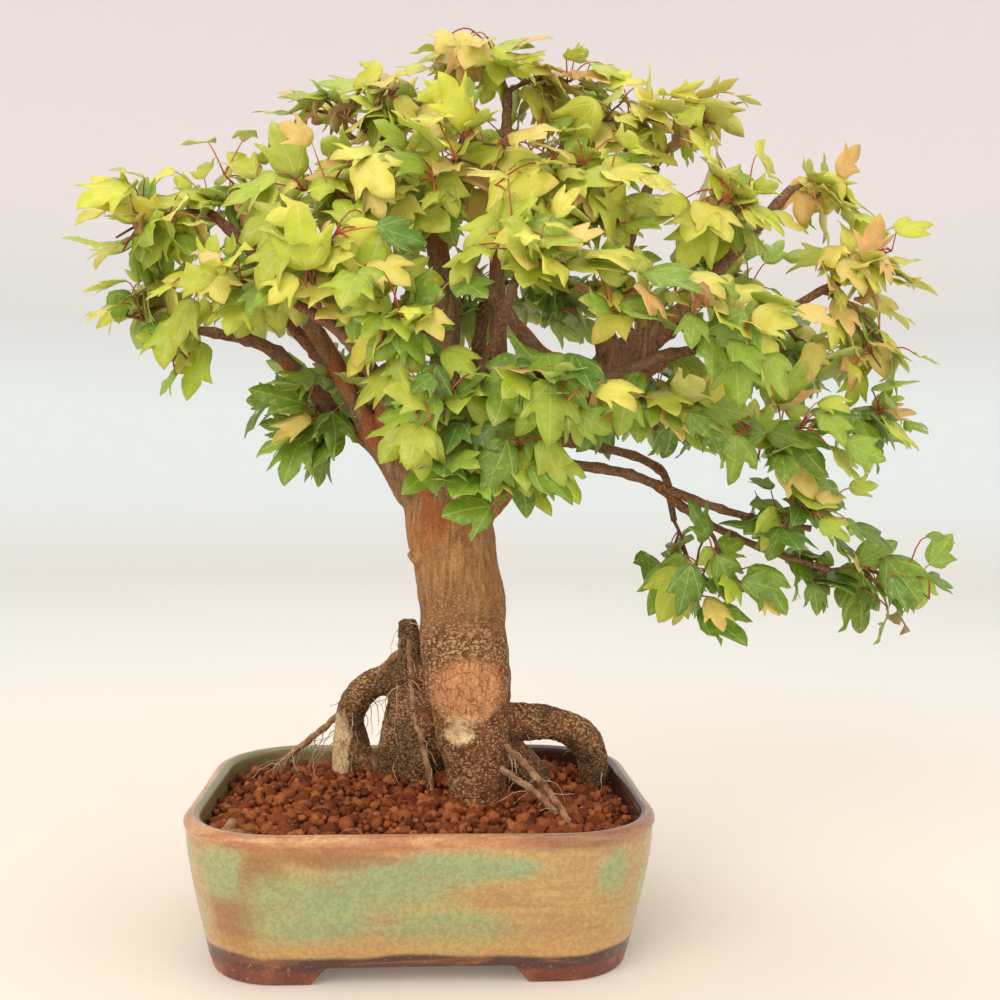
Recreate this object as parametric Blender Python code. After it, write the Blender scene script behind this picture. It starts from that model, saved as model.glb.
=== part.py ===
"""Bonsai maple growing in a glazed pot that stands on four feet.

Lengths are metres, +Z is up, the front of the pot faces -Y and +X is to its right. The tree is laid
out from the middle of the pot's foot. At the end the whole object is moved sideways, so that the
middle of its box stands over the origin.
"""

import math
import random

import bmesh
import bpy
from mathutils import Vector
from mathutils.bvhtree import BVHTree

MM = 0.001
UP = Vector((0, 0, 1))

# Pot, measured outside at the rim.
POT_LENGTH = 200 * MM
POT_DEPTH = 164 * MM
POT_HEIGHT = 64 * MM
POT_CORNER = 42 * MM
WALL = 6 * MM
FLOOR = 5.5 * MM
# The wall leans in towards the foot, and does so more the lower it gets.
LEAN = 12 * MM
LEAN_POWER = 1.5
WALL_STEPS = 5
LIP_STEPS = 4
INSIDE_STEPS = 3
CORNER_STEPS = 5

# Feet: one under each corner, with sloping ends.
FOOT_HEIGHT = 7.5 * MM
FOOT_RING = 13 * MM
FRONT_SLOT = 88 * MM
SIDE_SLOT = 70 * MM
SLOT_SLOPE = 6 * MM

# Drainage: a hole at each end of the floor, covered by a net that a wire clip holds.
HOLE_RADIUS = 6 * MM
HOLE_FROM_MIDDLE = 48 * MM
HOLE_SIDES = 24
NET_SIDE = 22 * MM
NET_THICKNESS = 1 * MM
NET_PITCH = 5 * MM
NET_OPENING = 3.2 * MM
NET_OPENINGS_PER_SIDE = 4
WIRE_RADIUS = 0.6 * MM
WIRE_FOOT = 7 * MM

# Gaps between pieces that touch, and the distance under which two corners are one.
GAP = 0.35 * MM
POCKET_GAP = 1 * MM
WELD = 0.002 * MM
NEARLY_TOUCHING = 0.02 * MM

# Soil: below the rim at the wall, a little higher in the middle, with a granular top.
SOIL_BELOW_RIM = 8 * MM
SOIL_MOUND = 2.5 * MM
SOIL_BUMP = 0.8 * MM
SOIL_RINGS = 6
# The soil is heaped up behind the trunk, under the arching roots: middle, reach and height.
HEAP_MIDDLE = (22 * MM, 34 * MM)
HEAP_REACH = (64 * MM, 26 * MM)
HEAP_HEIGHT = 8 * MM

# Tree: each route is a list of (x, y, z, radius) in millimetres, from thick end to thin.
TRUNK = [
    (28, -1, 24, 15),
    (27, -2, 44, 14),
    (26, -2, 58, 13.4),
    (23.5, 0, 86, 16.8),
    (20.5, 2, 110, 19.6),
    (18.5, 3, 130, 20.4),
    (17.5, 4, 148, 20.2),
    (14.5, 5, 168, 19.2),
    (12.5, 5, 186, 19.4),
    (13, 5, 203, 17),
    (14, 5, 214, 10),
]
ROOTS = {
    "old_stump": [(-8, 26, 137, 4.5), (-6, 26, 118, 7), (-5, 25, 92, 8.5), (-4, 24, 66, 9.5), (-3, 24, 42, 9)],
    "arching_left": [
        (4, 22, 112, 8),
        (-12, 28, 108, 7.5),
        (-25, 34, 104, 7.5),
        (-34, 40, 93, 7.5),
        (-37, 44, 76, 7.2),
        (-38, 46, 56, 7),
    ],
    "stump_shoulder": [(16, 10, 108, 9), (4, 20, 92, 10), (0, 26, 70, 11), (0, 28, 46, 11)],
    "arching_right": [
        (30, 6, 92, 10),
        (46, 12, 90, 8.5),
        (63, 18, 88, 8.2),
        (77, 24, 80, 8.2),
        (84, 28, 66, 7.4),
        (83, 28, 48, 6.4),
    ],
    "right_shoulder": [(30, 6, 80, 10), (42, 16, 70, 11), (54, 24, 58, 10), (58, 26, 46, 9)],
    "thin_arch_left": [
        (-8, 26, 124, 2),
        (-20, 32, 112, 1.9),
        (-33, 40, 98, 1.7),
        (-49, 46, 80, 1.6),
        (-66, 48, 66, 1.5),
        (-72, 48, 52, 1.4),
    ],
    "thin_down_left": [(-7, 22, 128, 1.8), (-5, 18, 100, 1.8), (0, 12, 80, 1.6), (4, 10, 62, 1.5), (5, 9, 50, 1.5)],
    "thin_right_long": [(36, -4, 84, 1.8), (46, -12, 76, 1.6), (55, -26, 68, 1.5), (63, -42, 58, 1.4), (65, -47, 50, 1.3)],
    "thin_right_short": [(34, -8, 74, 1.7), (45, -16, 68, 1.6), (57, -28, 60, 1.5), (62, -34, 50, 1.4)],
    "buried_left": [(24, 0, 50, 10), (-5, -8, 42, 6), (-45, -30, 38, 3.5)],
    "buried_back": [(26, 2, 48, 10), (22, 35, 40, 6), (10, 60, 36, 3.5)],
}
BRANCHES = {
    "limb_left_middle": [
        (12, 4, 196, 13),
        (8, 3, 218, 9.5),
        (8, 2, 250, 7.8),
        (8, 0, 283, 6.5),
        (2, 0, 318, 4.6),
        (-12, 2, 344, 3.6),
        (-25, 2, 362, 3),
    ],
    "leader": [(20, 6, 200, 10), (27, 8, 222, 6), (33, 8, 260, 4.6), (32, 6, 315, 3.6), (35, 4, 356, 2.8), (36, 4, 385, 2)],
    "limb_right": [
        (18, 4, 192, 15),
        (42, 2, 216, 10.5),
        (52, 0, 234, 8.8),
        (73, 0, 245, 7.6),
        (84, 0, 261, 6.4),
        (108, 2, 278, 5.2),
        (125, 4, 291, 4.4),
        (146, 6, 316, 3.2),
        (172, 8, 345, 2.2),
    ],
    "limb_left": [
        (4, 4, 192, 11),
        (-12, 2, 207, 6.5),
        (-28, 0, 231, 5),
        (-42, -2, 257, 4.4),
        (-57, -4, 280, 3.8),
        (-78, 2, 306, 2.8),
        (-100, 6, 326, 2),
    ],
    "outer_left": [
        (-6, 6, 196, 7),
        (-22, 8, 218, 4.6),
        (-42, 8, 234, 4),
        (-69, 6, 262, 3.2),
        (-94, 2, 270, 2.4),
        (-126, 0, 273, 1.7),
    ],
    "second_left": [
        (2, 2, 204, 7),
        (-14, -2, 227, 4.4),
        (-25, -4, 248, 3.8),
        (-33, -6, 267, 3.4),
        (-50, -8, 297, 2.8),
        (-64, -4, 330, 2),
    ],
    "top_left": [(4, 0, 310, 4.5), (10, -2, 340, 3), (20, -4, 372, 2)],
    "top_right": [(32, 6, 322, 3.6), (52, 6, 348, 2.8), (70, 2, 368, 2)],
    "upper_right": [(82, 0, 258, 6), (86, 2, 290, 3.6), (96, 4, 324, 2.8), (106, 4, 352, 2)],
    "crossing": [(74, 0, 244, 5), (48, -8, 267, 3.2), (33, -12, 284, 2.8), (14, -18, 306, 2)],
    "right_upper_side": [(90, 0, 264, 5), (122, 0, 270, 3.4), (158, 0, 279, 2.8), (180, 0, 293, 2.2), (200, 0, 303, 1.6)],
    "right_middle_side": [(72, 0, 242, 5), (104, -4, 230, 2.8), (140, -8, 226, 2.2), (172, -4, 232, 1.6)],
    "right_low": [
        (26, 0, 198, 8),
        (44, -4, 209, 4.6),
        (66, -6, 212, 3.6),
        (94, -6, 208, 3.2),
        (118, -6, 199, 2.8),
        (146, -6, 190, 2.2),
        (180, -4, 184, 1.6),
    ],
    "right_low_fork": [(106, -6, 204, 3.2), (128, 0, 188, 2.4), (160, 6, 174, 2), (192, 4, 164, 1.5)],
    "right_low_back": [(50, 0, 226, 7), (78, 10, 222, 3.4), (112, 16, 211, 2.6), (120, 18, 186, 1.8)],
    "back_middle": [(16, 10, 200, 9), (20, 36, 232, 5), (26, 58, 268, 3.6), (30, 66, 304, 2.4)],
    "back_left": [(6, 12, 200, 8), (-26, 40, 236, 4.4), (-58, 56, 270, 3.2), (-84, 60, 298, 2)],
    "back_right": [(50, 4, 232, 8), (84, 34, 252, 4.4), (120, 54, 278, 3.2), (150, 60, 306, 2)],
    "front_left": [(4, -4, 204, 8), (-14, -30, 236, 4), (-34, -46, 264, 2.8), (-62, -42, 282, 1.8)],
    "front_middle": [(16, -6, 202, 8), (20, -30, 226, 4), (28, -46, 260, 2.8), (36, -52, 288, 1.8)],
    "front_right": [(46, -2, 222, 8), (66, -26, 240, 4), (92, -46, 256, 2.8), (118, -52, 262, 1.8)],
}
WOOD_STEP = 2
# The pot's length and depth that the roots' routes are laid out for. In another pot they spread with it.
ROOTS_LENGTH = 200 * MM
ROOTS_DEPTH = 164 * MM
# Radii above which a limb or root is drawn with more sides, in millimetres.
THICK_LIMB = 11
THIN_ROOT = 3

# Foliage: each shoot fills a place (x, y, z) to a spread (x, y, z), all in millimetres.
SHOOTS = {
    "top_left": ((22, -5, 399), (19, 15, 14)),
    "top_middle": ((58, 10, 392), (19, 15, 15)),
    "top_right": ((92, -8, 368), (20, 16, 17)),
    "top_tip_right": ((128, 14, 376), (13, 12, 14)),
    "upper_left": ((-14, 0, 372), (23, 16, 14)),
    "upper_left_tip": ((-50, 8, 376), (14, 10, 8)),
    "upper_middle": ((14, -34, 340), (28, 16, 20)),
    "upper_right_middle": ((72, -38, 328), (23, 16, 20)),
    "left_middle_high": ((-36, -24, 328), (25, 18, 19)),
    "left_high": ((-88, 14, 334), (24, 18, 18)),
    "left_tip": ((-126, -8, 312), (19, 18, 18)),
    "left_tip_low": ((-132, 5, 280), (18, 16, 14)),
    "left_low_hang": ((-112, -14, 256), (9, 9, 10)),
    "left_middle": ((-80, -34, 286), (22, 17, 16)),
    "middle_left": ((-42, -60, 292), (20, 14, 18)),
    "middle_front_left": ((-11, -68, 268), (20, 14, 17)),
    "front_low_left": ((2, -70, 228), (22, 14, 15)),
    "left_underside": ((-48, 2, 230), (18, 16, 18)),
    "front_low": ((32, -60, 210), (21, 14, 18)),
    "middle_front": ((38, -68, 300), (20, 14, 18)),
    "front_right_low": ((50, -74, 240), (17, 13, 15)),
    "middle_right": ((86, -66, 280), (21, 14, 17)),
    "right_high": ((134, -18, 326), (21, 16, 19)),
    "right_top_tip": ((190, 8, 344), (15, 12, 14)),
    "right_tip_high": ((204, -5, 308), (18, 15, 16)),
    "right_tip_middle": ((208, 5, 270), (18, 15, 16)),
    "right_middle": ((128, -66, 262), (22, 14, 15)),
    "right_middle_low": ((98, -44, 234), (22, 15, 15)),
    "right_low": ((154, -26, 226), (26, 16, 17)),
    "right_low_tip": ((214, 8, 232), (14, 14, 17)),
    "cascade_left": ((132, -20, 162), (17, 14, 18)),
    "cascade_middle": ((178, -12, 190), (20, 15, 15)),
    "cascade_inner": ((122, 16, 164), (12, 10, 11)),
    "cascade_tip": ((226, -4, 156), (17, 14, 17)),
    "cascade_low": ((192, 12, 156), (14, 12, 12)),
    "back_top": ((50, 48, 358), (26, 15, 20)),
    "back_upper_left": ((-20, 52, 340), (26, 16, 18)),
    "back_left": ((-84, 66, 300), (26, 15, 18)),
    "back_middle": ((10, 74, 292), (26, 14, 20)),
    "back_low_left": ((-38, 56, 248), (24, 16, 17)),
    "back_middle_right": ((82, 72, 300), (26, 14, 19)),
    "back_right": ((150, 60, 308), (24, 15, 19)),
    "back_low_right": ((116, 56, 246), (26, 16, 17)),
    "back_tip_right": ((184, 42, 262), (20, 15, 17)),
}
LEAVES_PER_SHOOT = 5
FEWEST_LEAVES = 2
LEAF_LENGTH = 29 * MM
LEAF_LENGTH_VARIES = 0.18
LEAF_THICKNESS = 0.7 * MM
LEAF_FOLD = 0.22
LEAF_DROOP = 0.16
STALK_WIDTH = 1.3 * MM
STALK_SHORTEST = 4 * MM
STALK_LONGEST = 35 * MM
STRAIGHTEST_BEND = 0.4
TWIG_RADIUS = 1.2 * MM
TWIG_TIP_RADIUS = 0.8 * MM
TWIG_SHORTEST = 16 * MM
TWIG_SHIFT = 0.3
TWIG_STEP = 1
ABOVE_TRUNK = 20 * MM
# Half of a leaf's outline from its stalk to its tip, as shares of its length: (across, along).
LEAF_OUTLINE = [(0.52, 0.62), (0.19, 0.60), (0.0, 1.0)]
PLACES_TRIED = 90


def clear_scene():
    for obj in list(bpy.data.objects):
        bpy.data.objects.remove(obj, do_unlink=True)
    for collection in list(bpy.data.collections):
        bpy.data.collections.remove(collection)


def new_collection(name):
    collection = bpy.data.collections.new(name)
    bpy.context.scene.collection.children.link(collection)
    return collection


def material(name, colour, roughness):
    made = bpy.data.materials.new(name)
    made.use_nodes = True
    shader = made.node_tree.nodes["Principled BSDF"]
    shader.inputs["Base Color"].default_value = (*colour, 1)
    shader.inputs["Roughness"].default_value = roughness
    return made


def add_object(name, mesh, collection):
    obj = bpy.data.objects.new(name, mesh)
    collection.objects.link(obj)
    return obj


def object_from(bm, name, collection):
    """Makes an object of a bmesh and frees the bmesh."""
    bmesh.ops.recalc_face_normals(bm, faces=bm.faces)
    mesh = bpy.data.meshes.new(name)
    bm.to_mesh(mesh)
    bm.free()
    return add_object(name, mesh, collection)


def remove(obj):
    bpy.data.objects.remove(obj, do_unlink=True)


def evaluated_mesh(obj):
    bpy.context.view_layer.update()
    return bpy.data.meshes.new_from_object(obj.evaluated_get(bpy.context.evaluated_depsgraph_get()))


def combine(obj, others, operation):
    """Joins the other objects to obj, or cuts them from it, and removes them."""
    if not others:
        return
    group = new_collection("tools")
    for other in others:
        for holder in list(other.users_collection):
            holder.objects.unlink(other)
        group.objects.link(other)
    modifier = obj.modifiers.new(operation.lower(), "BOOLEAN")
    modifier.operation = operation
    modifier.solver = "EXACT"
    modifier.operand_type = "COLLECTION"
    modifier.collection = group
    mesh = evaluated_mesh(obj)
    obj.modifiers.remove(modifier)
    obj.data = mesh
    for other in others:
        remove(other)
    bpy.data.collections.remove(group)


def weld(obj):
    """Merges corners that coincide, and says whether the shape is one closed body that nowhere nearly touches itself."""
    bm = bmesh.new()
    bm.from_mesh(obj.data)
    bmesh.ops.triangulate(bm, faces=bm.faces)
    bmesh.ops.remove_doubles(bm, verts=bm.verts, dist=WELD)
    nearly = bmesh.ops.find_doubles(bm, verts=bm.verts, dist=NEARLY_TOUCHING)["targetmap"]
    is_closed = all(edge.is_manifold for edge in bm.edges) and not nearly
    reached = {bm.verts[:][0]}
    front = list(reached)
    while front:
        vert = front.pop()
        for edge in vert.link_edges:
            other = edge.other_vert(vert)
            if other not in reached:
                reached.add(other)
                front.append(other)
    is_whole = len(reached) == len(bm.verts)
    bm.to_mesh(obj.data)
    bm.free()
    return is_closed and is_whole


def rounded_rectangle(half_length, half_depth, corner, height):
    """Points of a level rounded rectangle, anticlockwise from above."""
    corner = min(corner, 0.98 * half_length, 0.98 * half_depth)
    points = []
    for quarter, (side, front) in enumerate(((1, 1), (-1, 1), (-1, -1), (1, -1))):
        centre = Vector((side * (half_length - corner), front * (half_depth - corner), height))
        for step in range(CORNER_STEPS + 1):
            angle = (quarter + step / CORNER_STEPS) * math.pi / 2
            points.append(centre + corner * Vector((math.cos(angle), math.sin(angle), 0)))
    return points


def pot_outline(inset, height):
    corner = max(POT_CORNER - inset, WALL)
    return rounded_rectangle(POT_LENGTH / 2 - inset, POT_DEPTH / 2 - inset, corner, height)


def lean_at(height):
    """How far the outside of the wall stands in from the rim at a height."""
    left = max(0.0, 1 - height / (POT_HEIGHT - WALL / 2))
    return LEAN * left**LEAN_POWER


def loft(bm, outlines):
    """Bridges closed outlines of equally many points, and closes both ends."""
    rings = [[bm.verts.new(point) for point in outline] for outline in outlines]
    for lower, upper in zip(rings, rings[1:]):
        for i in range(len(lower)):
            j = (i + 1) % len(lower)
            bm.faces.new((lower[i], lower[j], upper[j], upper[i]))
    bm.faces.new(rings[0][::-1])
    bm.faces.new(rings[-1])


def block(name, low, high, collection):
    bm = bmesh.new()
    bmesh.ops.create_cube(bm, size=1)
    middle = (Vector(low) + Vector(high)) / 2
    size = Vector(high) - Vector(low)
    for vert in bm.verts:
        vert.co = middle + Vector(c * s for c, s in zip(vert.co, size))
    return object_from(bm, name, collection)


def upright_cylinder(name, x, y, radius, low, high, collection):
    bm = bmesh.new()
    bmesh.ops.create_cone(
        bm, cap_ends=True, segments=HOLE_SIDES, radius1=radius, radius2=radius, depth=high - low
    )
    bmesh.ops.translate(bm, vec=(x, y, (low + high) / 2), verts=bm.verts)
    return object_from(bm, name, collection)


def slot(name, width, along_x, collection):
    """A tunnel under the pot between two pairs of feet, wider at the ground."""
    bm = bmesh.new()
    reach = POT_LENGTH if along_x else POT_DEPTH
    profile = [
        (-width / 2 - SLOT_SLOPE / 4, -FOOT_HEIGHT / 4),
        (width / 2 + SLOT_SLOPE / 4, -FOOT_HEIGHT / 4),
        (width / 2 - SLOT_SLOPE, FOOT_HEIGHT),
        (-width / 2 + SLOT_SLOPE, FOOT_HEIGHT),
    ]
    ends = []
    for end in (-reach, reach):
        if along_x:
            ends.append([bm.verts.new((end, across, up)) for across, up in profile])
        else:
            ends.append([bm.verts.new((across, end, up)) for across, up in profile])
    first, last = ends
    for i in range(4):
        j = (i + 1) % 4
        bm.faces.new((first[i], first[j], last[j], last[i]))
    bm.faces.new(first)
    bm.faces.new(last[::-1])
    return object_from(bm, name, collection)


def hole_places():
    return {"left": -HOLE_FROM_MIDDLE, "right": HOLE_FROM_MIDDLE}


def floor_top():
    return FOOT_HEIGHT + FLOOR


def make_pot(collection):
    outlines = []
    straight = POT_HEIGHT - WALL / 2
    for step in range(WALL_STEPS + 1):
        height = straight * step / WALL_STEPS
        outlines.append(pot_outline(lean_at(height), height))
    for step in range(1, LIP_STEPS + 1):
        angle = math.pi * step / LIP_STEPS
        inset = WALL / 2 * (1 - math.cos(angle))
        outlines.append(pot_outline(inset, straight + WALL / 2 * math.sin(angle)))
    for step in range(INSIDE_STEPS):
        height = straight + (floor_top() - straight) * (step + 1) / INSIDE_STEPS
        outlines.append(pot_outline(WALL + lean_at(height), height))
    bm = bmesh.new()
    loft(bm, outlines)
    pot = object_from(bm, "pot", collection)

    recess = bmesh.new()
    ring = lean_at(0) + FOOT_RING
    loft(recess, [pot_outline(ring, -FOOT_HEIGHT), pot_outline(ring, FOOT_HEIGHT)])
    cutters = [
        object_from(recess, "recess", collection),
        slot("front_slot", FRONT_SLOT, False, collection),
        slot("side_slot", SIDE_SLOT, True, collection),
    ]
    for place in hole_places().values():
        cutters.append(upright_cylinder("drain", place, 0, HOLE_RADIUS, 0, 2 * floor_top(), collection))
    for cutter in cutters:
        combine(pot, [cutter], "DIFFERENCE")
    return pot


def make_net(side, x, collection):
    """A square of plastic net, over a drain hole."""
    low = floor_top() + GAP
    half = NET_SIDE / 2
    net = block("drain_net_" + side, (x - half, -half, low), (x + half, half, low + NET_THICKNESS), collection)
    openings = []
    for row in range(NET_OPENINGS_PER_SIDE):
        for column in range(NET_OPENINGS_PER_SIDE):
            centre_x = x + (row - (NET_OPENINGS_PER_SIDE - 1) / 2) * NET_PITCH
            centre_y = (column - (NET_OPENINGS_PER_SIDE - 1) / 2) * NET_PITCH
            reach = NET_OPENING / 2
            openings.append(
                block(
                    "opening",
                    (centre_x - reach, centre_y - reach, low - NET_THICKNESS),
                    (centre_x + reach, centre_y + reach, low + 2 * NET_THICKNESS),
                    collection,
                )
            )
    combine(net, openings, "DIFFERENCE")
    return net


def wire_top():
    return floor_top() + GAP + NET_THICKNESS + GAP + 2 * WIRE_RADIUS


def make_clip(side, x, collection):
    """A wire staple through the net and the drain hole, bent out under the floor."""
    leg = NET_PITCH / 2
    above = wire_top() - WIRE_RADIUS
    below = FOOT_HEIGHT - GAP - WIRE_RADIUS
    bend = WIRE_RADIUS
    half = [(leg + WIRE_FOOT, below), (leg + bend, below), (leg, below + bend), (leg, above - bend), (leg - bend, above)]
    profile = half + [(-across, up) for across, up in reversed(half)]
    points = [Vector((x + across, NET_PITCH / 2, up)) for across, up in profile]
    return tube("drain_clip_" + side, points, [WIRE_RADIUS] * len(points), 1, 1, collection, smooth=False)


def tube(name, points, radii, roundness, step, collection, smooth=True):
    """A tube of changing radius along the points, with closed ends."""
    curve = bpy.data.curves.new(name, "CURVE")
    curve.dimensions = "3D"
    curve.bevel_depth = 1.0
    curve.bevel_resolution = roundness
    curve.use_fill_caps = True
    curve.resolution_u = step
    spline = curve.splines.new("BEZIER" if smooth else "POLY")
    if smooth:
        spline.bezier_points.add(len(points) - 1)
        knots = spline.bezier_points
    else:
        spline.points.add(len(points) - 1)
        knots = spline.points
    for knot, point, radius in zip(knots, points, radii):
        knot.co = point if smooth else (*point, 1)
        knot.radius = radius
        if smooth:
            knot.handle_left_type = "AUTO"
            knot.handle_right_type = "AUTO"
    path = add_object(name, curve, collection)
    mesh = evaluated_mesh(path)
    remove(path)
    bm = bmesh.new()
    bm.from_mesh(mesh)
    bmesh.ops.remove_doubles(bm, verts=bm.verts, dist=0.001 * MM)
    return object_from(bm, name, collection)


def grown(name, route, roundness, collection, swell=0.0):
    """A piece of wood along a route, or a space that is larger than it by swell all round."""
    points = [Vector(row[:3]) * MM for row in route]
    radii = [row[3] * MM + swell for row in route]
    if swell:
        points[0] += (points[0] - points[1]).normalized() * swell
        points[-1] += (points[-1] - points[-2]).normalized() * swell
    return tube(name, points, radii, roundness, WOOD_STEP, collection)


def spread_with_pot(route):
    """A root's route, which stays where it is beside the trunk and further out spreads with the pot."""
    foot_x, foot_y, _, thick = TRUNK[2]
    spread = []
    for x, y, z, radius in route:
        away = math.hypot(x - foot_x, y - foot_y)
        share = min(1.0, max(0.0, away / thick - 1) / 2)
        wider = 1 + (POT_LENGTH / ROOTS_LENGTH - 1) * share
        deeper = 1 + (POT_DEPTH / ROOTS_DEPTH - 1) * share
        spread.append((foot_x + (x - foot_x) * wider, foot_y + (y - foot_y) * deeper, z, radius))
    return spread


def wood_pieces(collection, swell=0.0, only_buried=False):
    """The trunk first, then roots and branches, each a closed shape that runs into the next."""
    pieces = [grown("trunk", TRUNK, 5, collection, swell)]
    for name, route in ROOTS.items():
        route = spread_with_pot(route)
        pieces.append(grown(name, route, 2 if route[0][3] > THIN_ROOT else 1, collection, swell))
    if not only_buried:
        for name, route in BRANCHES.items():
            pieces.append(grown(name, route, 2 if route[0][3] > THICK_LIMB else 1, collection, swell))
    return pieces


def make_tree(collection):
    pieces = wood_pieces(collection)
    tree = pieces[0]
    combine(tree, pieces[1:], "UNION")
    tree.name = "trunk_roots_and_branches"
    return tree


def heap_at(x, y):
    """How far the soil is heaped up above its mound at a place."""
    away = math.hypot((x - HEAP_MIDDLE[0]) / HEAP_REACH[0], (y - HEAP_MIDDLE[1]) / HEAP_REACH[1])
    return HEAP_HEIGHT * max(0.0, 1 - away**2)


def make_soil(collection, rng):
    """The body of granules, held clear of the pot, the nets, the clips and the wood."""
    top = POT_HEIGHT - SOIL_BELOW_RIM
    bottom = floor_top() + GAP
    inset = WALL + GAP
    outlines = []
    for step in range(INSIDE_STEPS + 1):
        height = bottom + (top - bottom) * step / INSIDE_STEPS
        outlines.append(pot_outline(inset + lean_at(height), height))
    for ring in range(1, SOIL_RINGS):
        share = 1 - ring / SOIL_RINGS
        rise = SOIL_MOUND * (1 - share**2)
        outline = []
        for point in outlines[INSIDE_STEPS]:
            bump = rng.uniform(-SOIL_BUMP, SOIL_BUMP)
            x, y = point.x * share, point.y * share
            outline.append(Vector((x, y, top + rise + bump + heap_at(x, y))))
        outlines.append(outline)
    bm = bmesh.new()
    loft(bm, outlines)
    soil = object_from(bm, "soil", collection)
    half = NET_SIDE / 2 + POCKET_GAP
    for x in hole_places().values():
        pocket = block("pocket", (x - half, -half, 0), (x + half, half, wire_top() + GAP), collection)
        combine(soil, [pocket], "DIFFERENCE")
    spaces = wood_pieces(collection, GAP, only_buried=True)
    first = spaces[0]
    combine(first, spaces[1:], "UNION")
    combine(soil, [first], "DIFFERENCE")
    return soil


def surface_of(obj):
    mesh = obj.data
    return BVHTree.FromPolygons([v.co for v in mesh.vertices], [tuple(p.vertices) for p in mesh.polygons])


def leaf_shape(base, tip_way, face_way, length, start, thickness, stalk):
    """Corners and faces of a leaf with its stalk: three lobes, folded along the middle, tip drooping."""
    along = tip_way.normalized()
    across = along.cross(face_way).normalized()
    face = across.cross(along).normalized()
    outline = [(stalk / 2 / length, 0.0)] + LEAF_OUTLINE
    outline += [(-x, y) for x, y in reversed(outline[:-1])]
    corners = []
    for side in (0.5, -0.5):
        for x, y in outline:
            lift = LEAF_FOLD * abs(x) - LEAF_DROOP * y * y
            spot = base + length * (across * x + along * y + face * lift)
            corners.append(spot + face * thickness * side)
    n = len(outline)
    middle = n // 2
    faces = []
    for i in range(middle):
        # The two halves share the line from the stalk to the tip.
        mirrored = n - 1 - i
        if i < middle - 1:
            faces.append((0, i + 1, i + 2))
            faces.append((n - 1, mirrored - 2, mirrored - 1))
    faces.append((0, middle, n - 1))
    faces += [tuple(n + corner for corner in reversed(f)) for f in faces]
    for i in range(n - 1):
        faces.append((i + 1, i, n + i, n + i + 1))
    way = (base - start).normalized()
    side_way = way.cross(face).normalized()
    up_way = side_way.cross(way).normalized()
    foot = []
    for a, b in ((1, 1), (-1, 1), (1, -1), (-1, -1)):
        corners.append(start + side_way * a * stalk / 2 + up_way * b * max(thickness, stalk * 0.7) / 2)
        foot.append(2 * n + len(foot))
    ring = [0, n - 1, 2 * n - 1, n]
    end = best_turn(corners, ring, [foot[0], foot[1], foot[3], foot[2]])
    for i in range(4):
        j = (i + 1) % 4
        faces.append((ring[i], ring[j], end[j], end[i]))
    faces.append(tuple(end))
    return corners, faces


def best_turn(corners, ring, end):
    """The order of the far ring's corners that twists a stalk least."""
    turns = [end[k:] + end[:k] for k in range(4)]
    turns += [turn[::-1] for turn in turns]
    return min(turns, key=lambda turn: sum((corners[a] - corners[b]).length for a, b in zip(ring, turn)))


class Foliage:
    """What is already placed, so that nothing new goes through it."""

    def __init__(self, wood):
        self.wood = surface_of(wood)
        self.placed = []

    def is_clear(self, corners, faces, skip=None):
        shape = BVHTree.FromPolygons(corners, faces)
        if shape.overlap(self.wood):
            return False
        centre = sum(corners, Vector()) / len(corners)
        reach = max((corner - centre).length for corner in corners)
        for owner, other, other_centre, other_reach in self.placed:
            if owner == skip or (centre - other_centre).length > reach + other_reach:
                continue
            if shape.overlap(other):
                return False
        return True

    def forget(self, name):
        self.placed = [item for item in self.placed if item[0] not in (name, name + "_leaf")]

    def keep(self, owner, corners, faces):
        centre = sum(corners, Vector()) / len(corners)
        reach = max((corner - centre).length for corner in corners)
        self.placed.append((owner, BVHTree.FromPolygons(corners, faces), centre, reach))


def any_way(rng):
    return Vector((rng.gauss(0, 1), rng.gauss(0, 1), rng.gauss(0, 1))).normalized()


def outward_from_trunk(centre):
    """Level way from the trunk's top to a place, or to the front where the place is above the trunk."""
    way = Vector((centre.x - TRUNK[-1][0] * MM, centre.y - TRUNK[-1][1] * MM, 0))
    return way.normalized() if way.length > ABOVE_TRUNK else Vector((0, -1, 0))


def make_twig(name, centre, spread, foliage, rng, collection):
    """A thin twig that grows from the wood on the trunk's side of the shoot's place towards its middle."""
    outward = outward_from_trunk(centre)
    for attempt in range(3 * PLACES_TRIED):
        # A crowded shoot looks further and further out for room.
        wider = 1 + max(0, attempt - PLACES_TRIED) / PLACES_TRIED
        shift = any_way(rng) * spread.length * TWIG_SHIFT * wider * (attempt > 0)
        heel = centre - outward * LEAF_LENGTH / 2 + shift
        spot, normal, _, _ = foliage.wood.find_nearest(heel)
        way = heel - spot + outward * TWIG_SHORTEST / 2
        reach = max(way.length, TWIG_SHORTEST)
        way.normalize()
        if way.dot(normal) < STRAIGHTEST_BEND:
            way = (way + normal).normalized()
        start = spot + normal * GAP
        points = [start, start + (way + normal).normalized() * reach * 0.3, start + way * reach]
        radii = [TWIG_RADIUS, TWIG_RADIUS, TWIG_TIP_RADIUS]
        twig = tube(name, points, radii, 0, TWIG_STEP, collection)
        corners = [v.co.copy() for v in twig.data.vertices]
        wider = tube(name, points, [radius + GAP for radius in radii], 0, TWIG_STEP, collection)
        wide_corners = [v.co + normal * GAP / 2 for v in wider.data.vertices]
        wide_faces = [tuple(p.vertices) for p in wider.data.polygons]
        remove(wider)
        if foliage.is_clear(wide_corners, wide_faces):
            foliage.keep(name, corners, [tuple(p.vertices) for p in twig.data.polygons])
            return twig, points
        remove(twig)
    raise RuntimeError("no room for the twig of " + name)


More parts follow.
